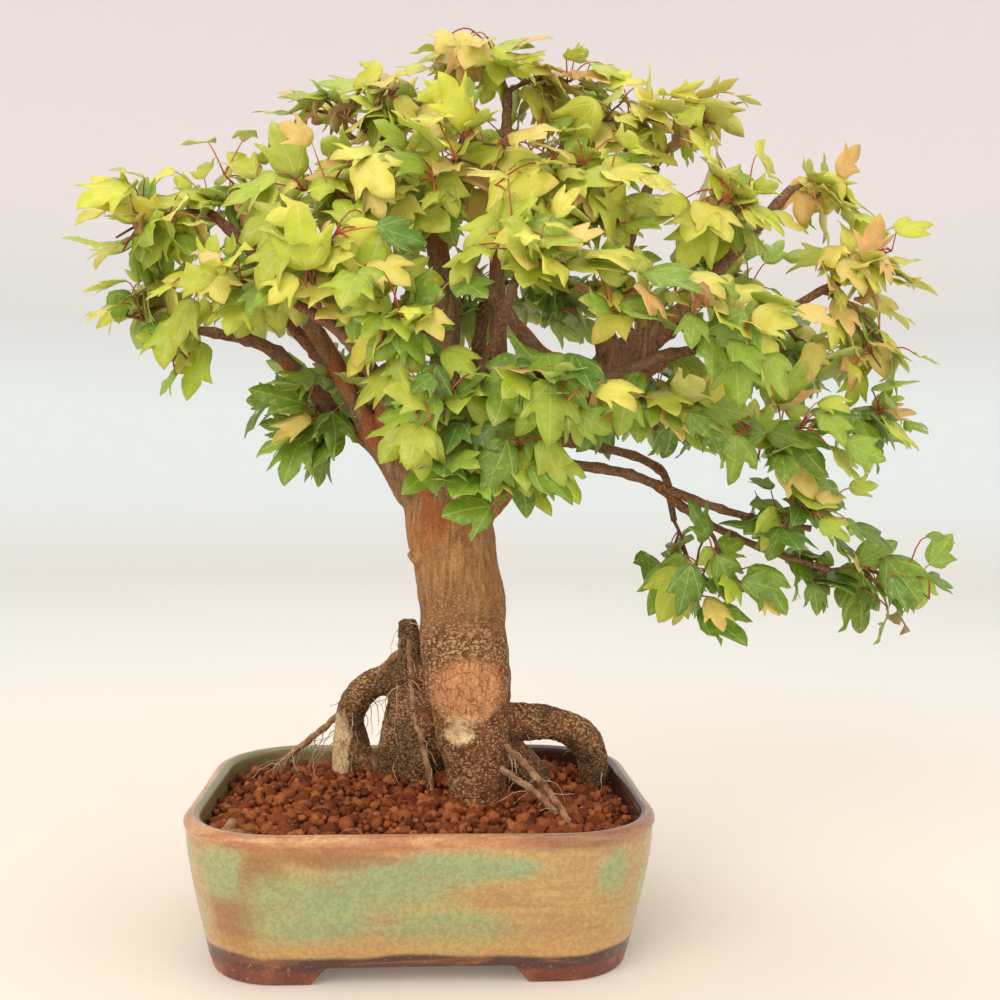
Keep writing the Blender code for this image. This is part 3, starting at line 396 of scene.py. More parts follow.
class Finish:
    """A material in the making, with the patterns that its colour and relief need."""

    def __init__(self, name):
        self.material = bpy.data.materials.new(name)
        self.material.use_nodes = True
        self.tree = self.material.node_tree
        self.shader = self.tree.nodes["Principled BSDF"]

    def node(self, kind, **settings):
        made = self.tree.nodes.new(kind)
        for key, value in settings.items():
            setattr(made, key, value)
        return made

    def put(self, socket, value):
        """Links a socket to another one's output, or sets what it holds."""
        if isinstance(value, bpy.types.NodeSocket):
            self.tree.links.new(value, socket)
        elif socket.type == "RGBA":
            socket.default_value = (*value[:3], 1)
        else:
            socket.default_value = value

    def place(self, stretch=(1, 1, 1)):
        """Object coordinates from the middle of the pot's foot, in metres, each way times its stretch."""
        mapping = self.node("ShaderNodeMapping")
        mapping.inputs["Scale"].default_value = stretch
        mapping.inputs["Location"].default_value = [-c * s for c, s in zip(MIDDLE, stretch)]
        self.put(mapping.inputs["Vector"], self.node("ShaderNodeTexCoord").outputs["Object"])
        return mapping.outputs["Vector"]

    def split(self, vector):
        return self.apart("ShaderNodeSeparateXYZ", vector)

    def channels(self, name):
        """The three channels of a colour stored on the mesh."""
        held = self.node("ShaderNodeAttribute", attribute_name=name)
        return self.apart("ShaderNodeSeparateColor", held.outputs["Color"])

    def apart(self, kind, value):
        made = self.node(kind)
        self.put(made.inputs[0], value)
        return made.outputs[0], made.outputs[1], made.outputs[2]

    def stored(self, name):
        return self.node("ShaderNodeAttribute", attribute_name=name).outputs["Color"]

    def texture(self, kind, vector, inputs, **settings):
        made = self.node(kind, **settings)
        self.put(made.inputs["Vector"], vector)
        for name, value in inputs.items():
            made.inputs[name].default_value = value
        return made

    def grit(self, vector, scale, detail=3.0, roughness=0.55, distortion=0.0):
        inputs = {"Scale": scale, "Detail": detail, "Roughness": roughness, "Distortion": distortion}
        return self.texture("ShaderNodeTexNoise", vector, inputs).outputs["Fac"]

    def cells(self, vector, scale, feature="F1"):
        made = self.texture("ShaderNodeTexVoronoi", vector, {"Scale": scale}, feature=feature)
        return made.outputs["Distance"]

    def between(self, value, low, high, to_low=0.0, to_high=1.0):
        """Rises smoothly from to_low to to_high while the value goes from low to high."""
        made = self.node("ShaderNodeMapRange", interpolation_type="SMOOTHSTEP")
        self.put(made.inputs["Value"], value)
        ends = {"From Min": low, "From Max": high, "To Min": to_low, "To Max": to_high}
        for socket, number in ends.items():
            made.inputs[socket].default_value = number
        return made.outputs["Result"]

    def calc(self, operation, first, second=0.0, third=0.0):
        made = self.node("ShaderNodeMath", operation=operation)
        for socket, value in zip(made.inputs, (first, second, third)):
            self.put(socket, value)
        return made.outputs[0]

    def times(self, first, second):
        return self.calc("MULTIPLY", first, second)

    def plus(self, first, second):
        return self.calc("ADD", first, second)

    def minus(self, first, second):
        return self.calc("SUBTRACT", first, second)

    def most(self, first, second):
        return self.calc("MAXIMUM", first, second)

    def vectors(self, operation, first, second):
        made = self.node("ShaderNodeVectorMath", operation=operation)
        self.put(made.inputs[0], first)
        self.put(made.inputs[1], second)
        return made.outputs[0]

    def mix(self, share, first, second, blend="MIX"):
        made = self.node("ShaderNodeMix", data_type="RGBA", blend_type=blend)
        self.put(made.inputs[0], share)
        self.put(made.inputs[6], first)
        self.put(made.inputs[7], second)
        return made.outputs[2]

    def ramp(self, value, *stops):
        made = self.node("ShaderNodeValToRGB")
        self.put(made.inputs[0], value)
        band = made.color_ramp
        while len(band.elements) < len(stops):
            band.elements.new(0.5)
        for element, (position, tone) in zip(band.elements, stops):
            element.position = position
            element.color = (*tone[:3], 1)
        return made.outputs[0]

    def patch(self, vector, middle, reach):
        """One inside an ellipsoid, falling to nought round its edge. Middle and reach are in millimetres."""
        moved = self.vectors("SUBTRACT", vector, [c * MM for c in middle])
        scaled = self.vectors("DIVIDE", moved, [c * MM for c in reach])
        size = self.node("ShaderNodeVectorMath", operation="LENGTH")
        self.put(size.inputs[0], scaled)
        return self.between(size.outputs["Value"], 1 + PATCH_EDGE, 1 - PATCH_EDGE)

    def patches(self, vector, ovals):
        """One inside any of some ellipsoids, each given as its middle and reach."""
        return functools.reduce(self.most, [self.patch(vector, *oval) for oval in ovals])

    def wobble(self, vector, scale, reach):
        """The same coordinates pushed about by noise, up to half of reach in metres each way."""
        made = self.texture("ShaderNodeTexNoise", vector, {"Scale": scale, "Detail": 3})
        level = self.vectors("SUBTRACT", made.outputs["Color"], (0.5, 0.5, 0.5))
        push = self.vectors("MULTIPLY", level, (reach, reach, reach))
        return self.vectors("ADD", vector, push)

    def relief(self, height, depth, under=None):
        """Bump whose height of one stands depth metres proud."""
        made = self.node("ShaderNodeBump")
        made.inputs["Distance"].default_value = depth
        self.put(made.inputs["Height"], height)
        if under is not None:
            self.put(made.inputs["Normal"], under)
        return made.outputs["Normal"]

    def done(self, tone, roughness, normal=None, specular=0.5, **others):
        self.put(self.shader.inputs["Base Color"], tone)
        self.put(self.shader.inputs["Roughness"], roughness)
        self.shader.inputs["Specular IOR Level"].default_value = specular
        for name, value in others.items():
            self.put(self.shader.inputs[name.replace("_", " ").title()], value)
        if normal is not None:
            self.put(self.shader.inputs["Normal"], normal)
        return self.material


def spot(x, y, z):
    """A place given in millimetres from the middle of the pot's foot."""
    return MIDDLE + Vector((x, y, z)) * MM


def ease(value, low, high):
    """Rises smoothly from nought to one while the value goes from low to high."""
    share = min(1.0, max(0.0, (value - low) / (high - low)))
    return share * share * (3 - 2 * share)


def any_way(rng):
    return Vector((rng.gauss(0, 1), rng.gauss(0, 1), rng.gauss(0, 1))).normalized()


def mesh_from(bm, name):
    mesh = bpy.data.meshes.new(name)
    bm.to_mesh(mesh)
    bm.free()
    return mesh


def settled(obj):
    """The mesh that an object's modifiers or curve make. The object is removed."""
    bpy.context.view_layer.update()
    mesh = bpy.data.meshes.new_from_object(obj.evaluated_get(bpy.context.evaluated_depsgraph_get()))
    bpy.data.objects.remove(obj, do_unlink=True)
    return mesh


def helper(name, data):
    obj = bpy.data.objects.new(name, data)
    bpy.context.scene.collection.objects.link(obj)
    return obj


def add_piece(name, mesh, material, nodes):
    """Adds a finished piece, which stands for these CAD nodes."""
    mesh.materials.clear()
    mesh.materials.append(material)
    mesh.shade_smooth()
    obj = helper(name, mesh)
    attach(obj, "root")
    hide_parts(*nodes)


# Pot ---------------------------------------------------------------------------------------------

# How many steps the outline takes round each of the pot's corners.
CORNER_STEPS = 8
# How far the pot's floor and underside reach from the middle before their first ring of faces.
FLOOR_MIDDLE = 34 * MM
# Heights above the feet, in millimetres, at which the outside of the wall has a ring.
WALL_RINGS = (2, 6, 14, 24, 34, 43, 49)
# Turns about the rim's bead, in degrees, at which it has a ring.
BEAD_TURNS = (-52, -22, 8, 38, 66, 90, 114, 142, 172)
# An edge of a foot that turns further than this, in radians, is rounded.
SHARP_ANGLE = 0.6


def straights(pot):
    """Half the straight length of the pot's long sides and of its short sides."""
    return POT_LENGTH / 2 - pot.corner, POT_DEPTH / 2 - pot.corner


def lean_at(pot, height):
    """How far the outside of the wall stands in from the rim at a height."""
    left = max(0.0, 1 - height / (POT_HEIGHT - pot.wall / 2))
    return pot.lean * left**1.5


def depth_inside(pot, x, y, height):
    """How far a place is inside the outside of the wall at its height."""
    corner = pot.corner - lean_at(pot, height)
    straight_x, straight_y = straights(pot)
    across = abs(x) - straight_x
    along = abs(y) - straight_y
    if across > 0 and along > 0:
        return corner - math.hypot(across, along)
    return corner - max(across, along)


def ring_places(pot):
    """The places round the pot: (kind, side, front, angle on a corner or distance along a side)."""
    straight_x, straight_y = straights(pot)
    foot_x = pot.front_slot / 2 - pot.slot_slope
    foot_y = pot.side_slot / 2 - pot.slot_slope
    stops_x = [(straight_x + foot_x) / 2, foot_x, foot_x * 0.7, foot_x * 0.35]
    stops_y = [(straight_y + foot_y) / 2, foot_y, foot_y * 0.5]
    stops_x = stops_x + [0] + [-x for x in reversed(stops_x)]
    stops_y = stops_y + [0] + [-y for y in reversed(stops_y)]
    places = []
    for quarter, (side, front) in enumerate(((1, 1), (-1, 1), (-1, -1), (1, -1))):
        for step in range(CORNER_STEPS + 1):
            places.append(("corner", side, front, (quarter + step / CORNER_STEPS) * math.pi / 2))
        if quarter % 2 == 0:
            places += [("long", 0, front, side * x) for x in stops_x]
        else:
            places += [("short", side, 0, front * y) for y in stops_y]
    return places


def ring_point(pot, place, inset, height, is_foot=False, share=1.0):
    """A point of the pot's outline, inset from the rim. A foot's end slopes away from the middle."""
    kind, side, front, value = place
    straight_x, straight_y = straights(pot)
    corner = pot.corner - inset
    if kind == "corner":
        x = side * straight_x + corner * math.cos(value)
        y = front * straight_y + corner * math.sin(value)
    elif kind == "long":
        x = sloped(value, straight_x, pot.front_slot / 2, pot.slot_slope, is_foot)
        y = front * (straight_y + corner)
    else:
        x = side * (straight_x + corner)
        y = sloped(value, straight_y, pot.side_slot / 2, pot.slot_slope, is_foot)
    return MIDDLE + Vector((x * share, y * share, height))


def sloped(value, straight, bottom, slope, is_foot):
    """A distance along a side, drawn towards the corner where it is on a foot."""
    if not is_foot:
        return value
    shrink = (straight - bottom) / (straight - bottom + slope)
    return math.copysign(straight - (straight - abs(value)) * shrink, value)


def in_foot(pot, place):
    kind, _, _, value = place
    if kind == "corner":
        return True
    width = pot.front_slot if kind == "long" else pot.side_slot
    return abs(value) > width / 2 - pot.slot_slope - 0.1 * MM


def stacked_rings(pot, places, rings):
    """A closed shape through rings of (inset, height, share), each drawn out of the one before."""
    bm = bmesh.new()
    number = bm.verts.layers.int.new("place")
    level = bm.verts.layers.int.new("ring")
    made = bmesh.ops.create_circle(bm, cap_ends=True, segments=len(places), radius=1)
    for i, vert in enumerate(made["verts"]):
        vert[number] = i
    verts = made["verts"]
    edges = bm.edges[:]
    for ring, (inset, height, share) in enumerate(rings):
        if ring:
            drawn = bmesh.ops.extrude_edge_only(bm, edges=edges)["geom"]
            verts = [item for item in drawn if isinstance(item, bmesh.types.BMVert)]
            new = set(verts)
            edges = [
                item
                for item in drawn
                if isinstance(item, bmesh.types.BMEdge) and item.verts[0] in new and item.verts[1] in new
            ]
        for vert in verts:
            vert[level] = ring
            vert.co = ring_point(pot, places[vert[number]], inset, height, share=share)
    bmesh.ops.edgeloop_fill(bm, edges=edges)
    bmesh.ops.recalc_face_normals(bm, faces=bm.faces)
    return bm


def pot_rings(pot):
    """The pot's section, from the middle underneath, out and up the wall, over the lip and down inside."""
    foot = pot.foot_height
    floor = foot + pot.floor
    inner = lean_at(pot, 0) + pot.foot_ring
    rings = [(FLOOR_MIDDLE, foot, 1), (inner, foot, 1), (lean_at(pot, foot), foot, 1)]
    straight = POT_HEIGHT - pot.wall / 2
    for height in WALL_RINGS:
        rings.append((lean_at(pot, foot + height * MM), foot + height * MM, 1))
    # A soft bead stands a little proud of the wall and rolls over the rim.
    reach = pot.wall / 2 + pot.bead / 2
    for turn in BEAD_TURNS:
        angle = math.radians(turn)
        lift = min(1.0, 0.5 + 0.5 * math.cos(angle))
        inset = reach * (1 - math.cos(angle)) - pot.bead * lift
        rings.append((max(inset, -pot.bead), straight + pot.wall / 2 * math.sin(angle), 1))
    heights = [straight - fall * MM for fall in (5, 18, 32)] + [floor + rise * MM for rise in (6, 2)]
    for height in heights:
        rings.append((pot.wall + lean_at(pot, height), height, 1))
    rings.append((pot.wall + lean_at(pot, floor) + 2 * MM, floor, 1))
    rings.append((FLOOR_MIDDLE, floor, 1))
    return rings


def pot_mesh(pot):
    places = ring_places(pot)
    bm = stacked_rings(pot, places, pot_rings(pot))
    number = bm.verts.layers.int["place"]
    level = bm.verts.layers.int["ring"]
    feet = [
        face
        for face in bm.faces
        if {vert[level] for vert in face.verts} == {1, 2}
        and all(in_foot(pot, places[vert[number]]) for vert in face.verts)
    ]
    drawn = bmesh.ops.extrude_face_region(bm, geom=feet)["geom"]
    for vert in drawn:
        if isinstance(vert, bmesh.types.BMVert):
            inset = lean_at(pot, 0) + (pot.foot_ring if vert[level] == 1 else 0)
            vert.co = ring_point(pot, places[vert[number]], inset, 0, is_foot=True)
    bmesh.ops.delete(bm, geom=[face for face in feet if face.is_valid], context="FACES_ONLY")
    bmesh.ops.recalc_face_normals(bm, faces=bm.faces)
    top = MIDDLE.z + pot.foot_height + 0.01 * MM
    sharp = [
        edge
        for edge in bm.edges
        if max(vert.co.z for vert in edge.verts) < top
        and edge.is_manifold
        and edge.calc_face_angle() > SHARP_ANGLE
    ]
    bmesh.ops.bevel(
        bm,
        geom=sharp,
        offset=pot.rounding,
        offset_type="OFFSET",
        segments=2,
        profile=0.5,
        affect="EDGES",
        clamp_overlap=True,
        material=-1,
    )
    obj = helper("pot_shape", mesh_from(bm, "pot"))
    smooth = obj.modifiers.new("smooth", "SUBSURF")
    smooth.levels = 2
    smooth.render_levels = 2
    obj = helper("pot_shape", settled(obj))
    cutters = []
    for x in (-pot.hole_place, pot.hole_place):
        tool = bmesh.new()
        bmesh.ops.create_cone(
            tool,
            cap_ends=True,
            segments=40,
            radius1=pot.hole_radius,
            radius2=pot.hole_radius,
            depth=30 * MM,
        )
        bmesh.ops.translate(tool, vec=MIDDLE + Vector((x, 0, 10 * MM)), verts=tool.verts)
        cutters.append(helper("drain_hole", mesh_from(tool, "drain_hole")))
        cut = obj.modifiers.new("drain", "BOOLEAN")
        cut.operation = "DIFFERENCE"
        cut.solver = "EXACT"
        cut.object = cutters[-1]
    mesh = settled(obj)
    for cutter in cutters:
        bpy.data.objects.remove(cutter, do_unlink=True)
    stray_from_true(pot, mesh)
    return mesh


def stray_from_true(pot, mesh):
    """Lets the wall wander a little, and stores which of its surface is inside."""
    inside = mesh.attributes.new("inside", "FLOAT", "POINT")
    normals = [vert.normal.copy() for vert in mesh.vertices]
    for vert, normal in zip(mesh.vertices, normals):
        place = vert.co - MIDDLE
        depth = depth_inside(pot, place.x, place.y, place.z)
        is_inside = depth > pot.wall * 0.62 and place.z > pot.foot_height + pot.floor / 2
        inside.data[vert.index].value = 1.0 if is_inside else 0.0
        hold = ease(place.z, 2 * MM, 12 * MM)
        slow = noise.noise(place * 22)
        quick = noise.noise(place * 70 + Vector((3, 5, 7)))
        level = Vector((normal.x, normal.y, 0.3 * normal.z))
        vert.co += level * hold * pot.unevenness * (1.3 * slow + 0.35 * quick)


# Soil --------------------------------------------------------------------------------------------


def soil_height(pot, soil, x, y):
    """The height of the soil above the pot's foot, at a place from the pot's middle."""
    depth = depth_inside(pot, x, y, POT_HEIGHT) - pot.wall
    across, back, half_width, half_depth = SOIL_HEAP
    away = math.hypot((x / MM - across) / half_width, (y / MM - back) / half_depth)
    rise = soil.mound * ease(depth, 0, 55 * MM) + soil.heap * max(0.0, 1 - away**2)
    return POT_HEIGHT - soil.below_rim + rise + 0.8 * MM * noise.noise(Vector((x, y, 0)) * 60)


def soil_bed_mesh(pot, soil):
    places = ring_places(pot)
    top = POT_HEIGHT - soil.below_rim
    low = pot.foot_height + pot.floor + 4 * MM
    rings = []
    for height in (low, (low + top) / 2, top - 2 * MM):
        rings.append((pot.wall + lean_at(pot, height) + 0.3 * MM, height, 1))
    for share in (0.97, 0.85, 0.7, 0.5, 0.3, 0.12):
        rings.append((pot.wall + lean_at(pot, top), top, share))
    bm = stacked_rings(pot, places, rings)
    for vert in bm.verts:
        place = vert.co - MIDDLE
        if place.z > top - 0.1 * MM:
            vert.co.z = MIDDLE.z + soil_height(pot, soil, place.x, place.y) - 2 * MM
    return mesh_from(bm, "soil_bed")


# How near to the middle of the trunk's foot no granule lies, and how many shapes the granules have.
TRUNK_CLEAR = 11 * MM
GRANULE_SHAPES = 7


def granule_shapes(rng):
    """A few small irregular lumps, one unit across."""
    shapes = []
    for _ in range(GRANULE_SHAPES):
        bm = bmesh.new()
        bmesh.ops.create_cube(bm, size=1)
        bmesh.ops.subdivide_edges(bm, edges=bm.edges, cuts=1, use_grid_fill=True)
        for vert in bm.verts:
            ball = vert.co.normalized() * 0.5
            vert.co = vert.co.lerp(ball, 0.8) * (1 + rng.uniform(-0.17, 0.17))
        mesh = mesh_from(bm, "granule")
        mesh.attributes.new("tint", "FLOAT", "POINT")
        shapes.append(mesh)
    return shapes


def add_copy(bm, shape):
    """Adds a copy of a small mesh, and returns its corners."""
    before = len(bm.verts)
    bm.from_mesh(shape)
    bm.verts.ensure_lookup_table()
    return bm.verts[before:]


def granules_mesh(pot, soil, rng):
    shapes = granule_shapes(rng)
    bm = bmesh.new()
    trunk = Vector((TRUNK[2][0], TRUNK[2][1], 0)) * MM
    steps_x = int(POT_LENGTH / soil.spacing / 2) + 1
    steps_y = int(POT_DEPTH / soil.spacing / 2) + 1
    for column in range(-steps_x, steps_x + 1):
        for row in range(-steps_y, steps_y + 1):
            x = (column + 0.5 * (row % 2) + rng.uniform(-0.42, 0.42)) * soil.spacing
            y = (row + rng.uniform(-0.42, 0.42)) * soil.spacing
            width = soil.smallest + (soil.largest - soil.smallest) * rng.random() ** 2.1
            depth = depth_inside(pot, x, y, POT_HEIGHT - soil.below_rim)
            if depth < pot.wall + width * 0.42 or (Vector((x, y, 0)) - trunk).length < TRUNK_CLEAR:
                continue
            height = soil_height(pot, soil, x, y) - width * 0.28 + rng.uniform(-1.0, 1.5) * MM
            turn = Matrix.Rotation(rng.uniform(0, math.tau), 3, any_way(rng))
            stretch = Vector((1, rng.uniform(0.72, 1.0), rng.uniform(0.62, 0.95))) * width
            corners = add_copy(bm, rng.choice(shapes))
            tint = bm.verts.layers.float["tint"]
            shade = min(1.0, max(0.0, rng.gauss(0.5, 0.2)))
            for vert in corners:
                grown = Vector(c * s for c, s in zip(vert.co, stretch))
                vert.co = MIDDLE + Vector((x, y, height)) + turn @ grown
                vert[tint] = shade
    return mesh_from(bm, "soil_granules")


# Wood --------------------------------------------------------------------------------------------


def smoothed(route, step):
    """(place, radius) every step millimetres or so along a smooth way through a route's rows."""
    rows = [Vector(row) for row in route]
    rows = [rows[0] * 2 - rows[1]] + rows + [rows[-1] * 2 - rows[-2]]
    found = []
    for before, start, end, after in zip(rows, rows[1:], rows[2:], rows[3:]):
        pieces = max(1, round((end - start).length / step))
        for k in range(pieces):
            t = k / pieces
            square = 2 * before - 5 * start + 4 * end - after
            cube = 3 * start - before - 3 * end + after
            found.append(0.5 * (2 * start + (end - before) * t + square * t**2 + cube * t**3))
    found.append(rows[-2])
    return [(spot(*row[:3]), row[3] * MM) for row in found]


def strands_mesh(name, runs, sides_step):
    """Closed tubes along runs of (place, radius), all in one mesh."""
    curve = bpy.data.curves.new(name, "CURVE")
    curve.dimensions = "3D"
    curve.bevel_depth = 1.0
    curve.bevel_resolution = sides_step
    curve.use_fill_caps = True
    for run in runs:
        spline = curve.splines.new("POLY")
        spline.points.add(len(run) - 1)
        for knot, (place, radius) in zip(spline.points, run):
            knot.co = (*place, 1)
            knot.radius = radius
    mesh = settled(helper(name, curve))
    bm = bmesh.new()
    bm.from_mesh(mesh)
    bmesh.ops.remove_doubles(bm, verts=bm.verts, dist=0.002 * MM)
    bmesh.ops.recalc_face_normals(bm, faces=bm.faces)
    return mesh_from(bm, name)


def thick_part(route, thin):
    """A branch's rows from its start to the first row that is thinner than thin, that one included."""
    kept = []
    for row in route:
        kept.append(row)
        if row[3] < thin:
            break
    return kept


def thin_part(route, thin):
    """A branch's rows from the last one that is at least thin to its end."""
    first = next((i for i, row in enumerate(route) if row[3] < thin), len(route))
    return route[max(0, first - 1):]


def thick_routes(thin):
    routes = {"trunk": TRUNK, **KNOBS}
    routes.update({name: route for name, route in ROOTS.items() if route[0][3] > thin})
    for name, route in BRANCHES.items():
        part = thick_part(route, thin)
        if len(part) > 1:
            routes[name] = part
    return routes


class WoodMap:
    """Says which route, and how thick a one, is nearest to a place."""

    def __init__(self, routes):
        self.rows = []
        for name, route in routes.items():
            self.rows += [(place, radius, name) for place, radius in smoothed(route, 2.5)]
        self.tree = KDTree(len(self.rows))
        for i, (place, _, _) in enumerate(self.rows):
            self.tree.insert(place, i)
        self.tree.balance()

    def nearest(self, place):
        """(place, radius, name) of the route whose surface is nearest to a place."""
        found = self.tree.find_n(place, 12)
        best = min(found, key=lambda item: item[2] - self.rows[item[1]][1])
        return self.rows[best[1]]


def bell(value, middle, width):
    return math.exp(-(((value - middle) / width) ** 2))


def from_oval(p, oval):
    """How far a place in millimetres is from an oval's middle: one on the edge, and far off behind."""
    across, up, half_width, half_height, back = oval
    if p.y > back:
        return 9.0
    return math.hypot((p.x - across) / half_width, (p.z - up) / half_height)


def bark_lift(wood, p, radius, is_root):
    """How far the bark stands out at a place in millimetres."""
    thick = ease(radius / MM, 2, 14)
    lumps = noise.noise(p * 0.055) + 0.5 * noise.noise(p * 0.13 + Vector((9, 2, 4)))
    grain = noise.noise(Vector((p.x * 0.42, p.y * 0.42, p.z * 0.10)))
    pits = noise.noise(p * 0.55 + Vector((1, 8, 3)))
    lift = wood.bumps * lumps * (0.35 + thick) + wood.grain * (grain * thick + 0.5 * pits)
    if is_root:
        lift += wood.bumps * (0.5 * noise.noise(p * 0.24) + 0.35 * pits)
    scar = from_oval(p, SCAR)
    lift += MM * 1.1 * bell(scar, 0.98, 0.16)
    if scar < 0.9:
        lift -= 0.3 * MM
        for x, z in SCAR_GROOVES:
            lift += 0.7 * MM * bell(p.x, x + 0.8 * math.sin(p.z * 0.35), 0.7) * bell(p.z, z, 9)
    cut = from_oval(p, RAW_CUT)
    lift += MM * (0.7 * bell(cut, 1.05, 0.3) - 1.1 * bell(cut, 0, 0.75))
    return lift


def bark_zones(p, name):
    """Shares of old specked bark, of cut or healed wood, and of moss, at a place in millimetres. On the old
    stump and the dark knobs the moss share is partly painted shade.
    """
    ragged = 14 * noise.noise(p * 0.06) + 5 * noise.noise(p * 0.2)
    is_root = name in ROOTS
    old = 1.0 if is_root else 1 - ease(p.z + ragged, 120, 172)
    cut = 0.85 * (1 - ease(from_oval(p, SCAR) + 0.14 * noise.noise(p * 0.3), 0.72, 1.02))
    cut = max(cut, 1 - ease(from_oval(p, RAW_CUT) + 0.25 * noise.noise(p * 0.4), 0.7, 1.0))
    if name in ("arching_left", "stump_shoulder"):
        stripped = Vector(((p.x + 43) / 9, (p.y - 34) / 16, (p.z - 72) / 19)).length
        cut = max(cut, 1 - ease(stripped + 0.2 * noise.noise(p * 0.2), 0.85, 1.05))
    moss = 0.0
    if is_root or name in DARK_ROOTS:
        # On the old stump and the dark knobs the moss share is raised: partly real moss, partly painted
        # shade for the deep shadow at the left of the trunk.
        moss_and_shade = 0.35 if name in ("old_stump", *DARK_ROOTS) else 0
        moss = 0.8 * ease(noise.noise(p * 0.07) + moss_and_shade, -0.2, 0.6)
    return old, min(cut, 1), moss * (1 - cut)


def trunk_mesh(wood):
    routes = thick_routes(wood.thin / MM)
    runs = [smoothed(route, 4) for route in routes.values()]
    obj = helper("wood_shape", strands_mesh("wood", runs, 8))
    remesh = obj.modifiers.new("grown_together", "REMESH")
    remesh.mode = "VOXEL"
    remesh.voxel_size = wood.voxel
    bm = bmesh.new()
    bm.from_mesh(settled(obj))
    for _ in range(3):
        bmesh.ops.smooth_vert(
            bm, verts=bm.verts, factor=0.5, use_axis_x=True, use_axis_y=True, use_axis_z=True
        )
    bm.normal_update()
    where = WoodMap(routes)
    zones = bm.verts.layers.float_color.new("zones")
    for vert in bm.verts:
        p = (vert.co - MIDDLE) / MM
        _, radius, name = where.nearest(vert.co)
        vert[zones] = (*bark_zones(p, name), 1)
        vert.co += vert.normal * bark_lift(wood, p, radius, name in ROOTS)
    return mesh_from(bm, "trunk_roots_and_limbs")


def knotty(run, rng, pitch, stray):
    """A thin branch with a swelling at each node, which wanders a little from its route."""
    made = []
    gone = rng.uniform(0, pitch)
    last = run[0][0]
    for i, (place, radius) in enumerate(run):
        gone += (place - last).length
        last = place
        swell = 1 + 0.28 * bell((gone / pitch) % 1, 0.5, 0.14)
        off = any_way(rng) * stray * (0 if i < 2 else 1)
        made.append((place + off, radius * swell))
    return made


def branch_runs(wood, rng):
    runs = []
    for route in BRANCHES.values():
        part = thin_part(route, wood.thin / MM)
        if len(part) > 1:
            runs.append(knotty(smoothed(part, 3), rng, 15 * MM, 0.22 * MM))
    return runs


def hair_root_runs(wood, pot, soil, rng):
    """Hair roots that hang and wander from the thin roots, the stump and the arching roots."""
    starts = []
    for name, share in HAIR_ROOT_SHARES.items():
        starts += [name] * share
    runs = []
    for _ in range(wood.hair_roots):
        name = rng.choice(starts)
        place, radius = rng.choice(smoothed(ROOTS[name], 2)[:-2])
        way = any_way(rng)
        way.z = -abs(way.z) * 0.6
        way.y -= 0.5
        way.normalize()
        place = place + way * radius * 0.8
        width = rng.uniform(0.16, 0.34) * MM
        length = rng.randint(5, 14)
        run = []
        for k in range(length):
            run.append((place.copy(), width * (1 - 0.6 * k / length)))
            way = (way + any_way(rng) * 0.5 - UP * 0.16).normalized()
            place = place + way * 2.6 * MM
            low = MIDDLE.z + soil_height(pot, soil, place.x - MIDDLE.x, place.y - MIDDLE.y)
            if place.z < low - 2 * MM:
                break
        if len(run) > 3:
            runs.append(run)
    return runs


# Foliage -----------------------------------------------------------------------------------------

# Half of a leaf, as shares of its length (across, along): the middle vein, the vein of the side
# lobe, and the edge from the stalk round the side lobe to the tip.
LEAF_MIDDLE = [(0, 0), (0, 0.16), (0, 0.34), (0, 0.54), (0, 0.78), (0, 1)]
LEAF_SIDE_VEIN = [(0.09, 0.18), (0.19, 0.35), (0.30, 0.52)]
LEAF_EDGE = [
    (0.12, 0.02), (0.25, 0.1), (0.33, 0.24), (0.36, 0.39), (0.405, 0.54), (0.47, 0.69), (0.365, 0.655),
    (0.28, 0.615), (0.205, 0.585), (0.215, 0.69), (0.165, 0.81), (0.085, 0.92),
]
# The leaf in a few shapes: its width, and how far its side lobes and the cuts beside them shift.
LEAF_SHAPES = (
    (1.0, 0, 0.03),
    (1.12, -0.05, 0.07),
    (0.88, 0.04, 0.01),
    (1.02, 0.07, 0.05),
    (0.8, -0.08, -0.02),
)
# How far across the side lobe's tip is, how far along it ends, and the corners of the cut beside it.
LOBE_ACROSS = 0.47
LOBE_END = 0.72
NOTCH_CORNERS = (7, 8)
# Faces of the half, as names of the points above: m is the middle, v the side vein, e the edge.
LEAF_FACES = [
    "m0 e0 e1 v0", "v0 e1 e2 v1", "v1 e2 e3 v2", "v2 e3 e4 e5", "m0 v0 m1", "m1 v0 v1 m2", "m2 v1 e8 m3",
    "v1 v2 e7 e8", "v2 e5 e6 e7", "m3 e8 e9 m4", "m4 e9 e10", "m4 e10 e11 m5",
]


def leaf_shape(foliage, width, lobe, notch):
    """A flat leaf one unit long. Lobe moves the side lobes' tips along, notch moves the cuts back."""
    bm = bmesh.new()
    corners = {}
    for letter, rows in (("m", LEAF_MIDDLE), ("v", LEAF_SIDE_VEIN), ("e", LEAF_EDGE)):
        for i, (x, y) in enumerate(rows):
            shift = lobe * (x / LOBE_ACROSS) ** 2 * (y < LOBE_END)
            if letter == "e" and i in NOTCH_CORNERS:
                shift -= notch
            corners[letter + str(i)] = bm.verts.new((x * width, y + shift, 0))
    for names in LEAF_FACES:
        bm.faces.new([corners[name] for name in names.split()])
    bmesh.ops.mirror(bm, geom=bm.verts[:] + bm.edges[:] + bm.faces[:], axis="X", merge_dist=1e-4)
    bmesh.ops.recalc_face_normals(bm, faces=bm.faces)
    if sum(face.normal.z for face in bm.faces) < 0:
        bmesh.ops.reverse_faces(bm, faces=bm.faces)
    blade = bm.loops.layers.uv.new("blade")
    for face in bm.faces:
        for loop in face.loops:
            loop[blade].uv = (0.5 + 0.9 * loop.vert.co.x / width, 0.96 * loop.vert.co.y)
    bmesh.ops.solidify(bm, geom=bm.faces[:], thickness=foliage.thickness / foliage.length)
    bmesh.ops.recalc_face_normals(bm, faces=bm.faces)
    mesh = mesh_from(bm, "leaf")
    mesh.attributes.new("tint", "FLOAT_COLOR", "POINT")
    return mesh


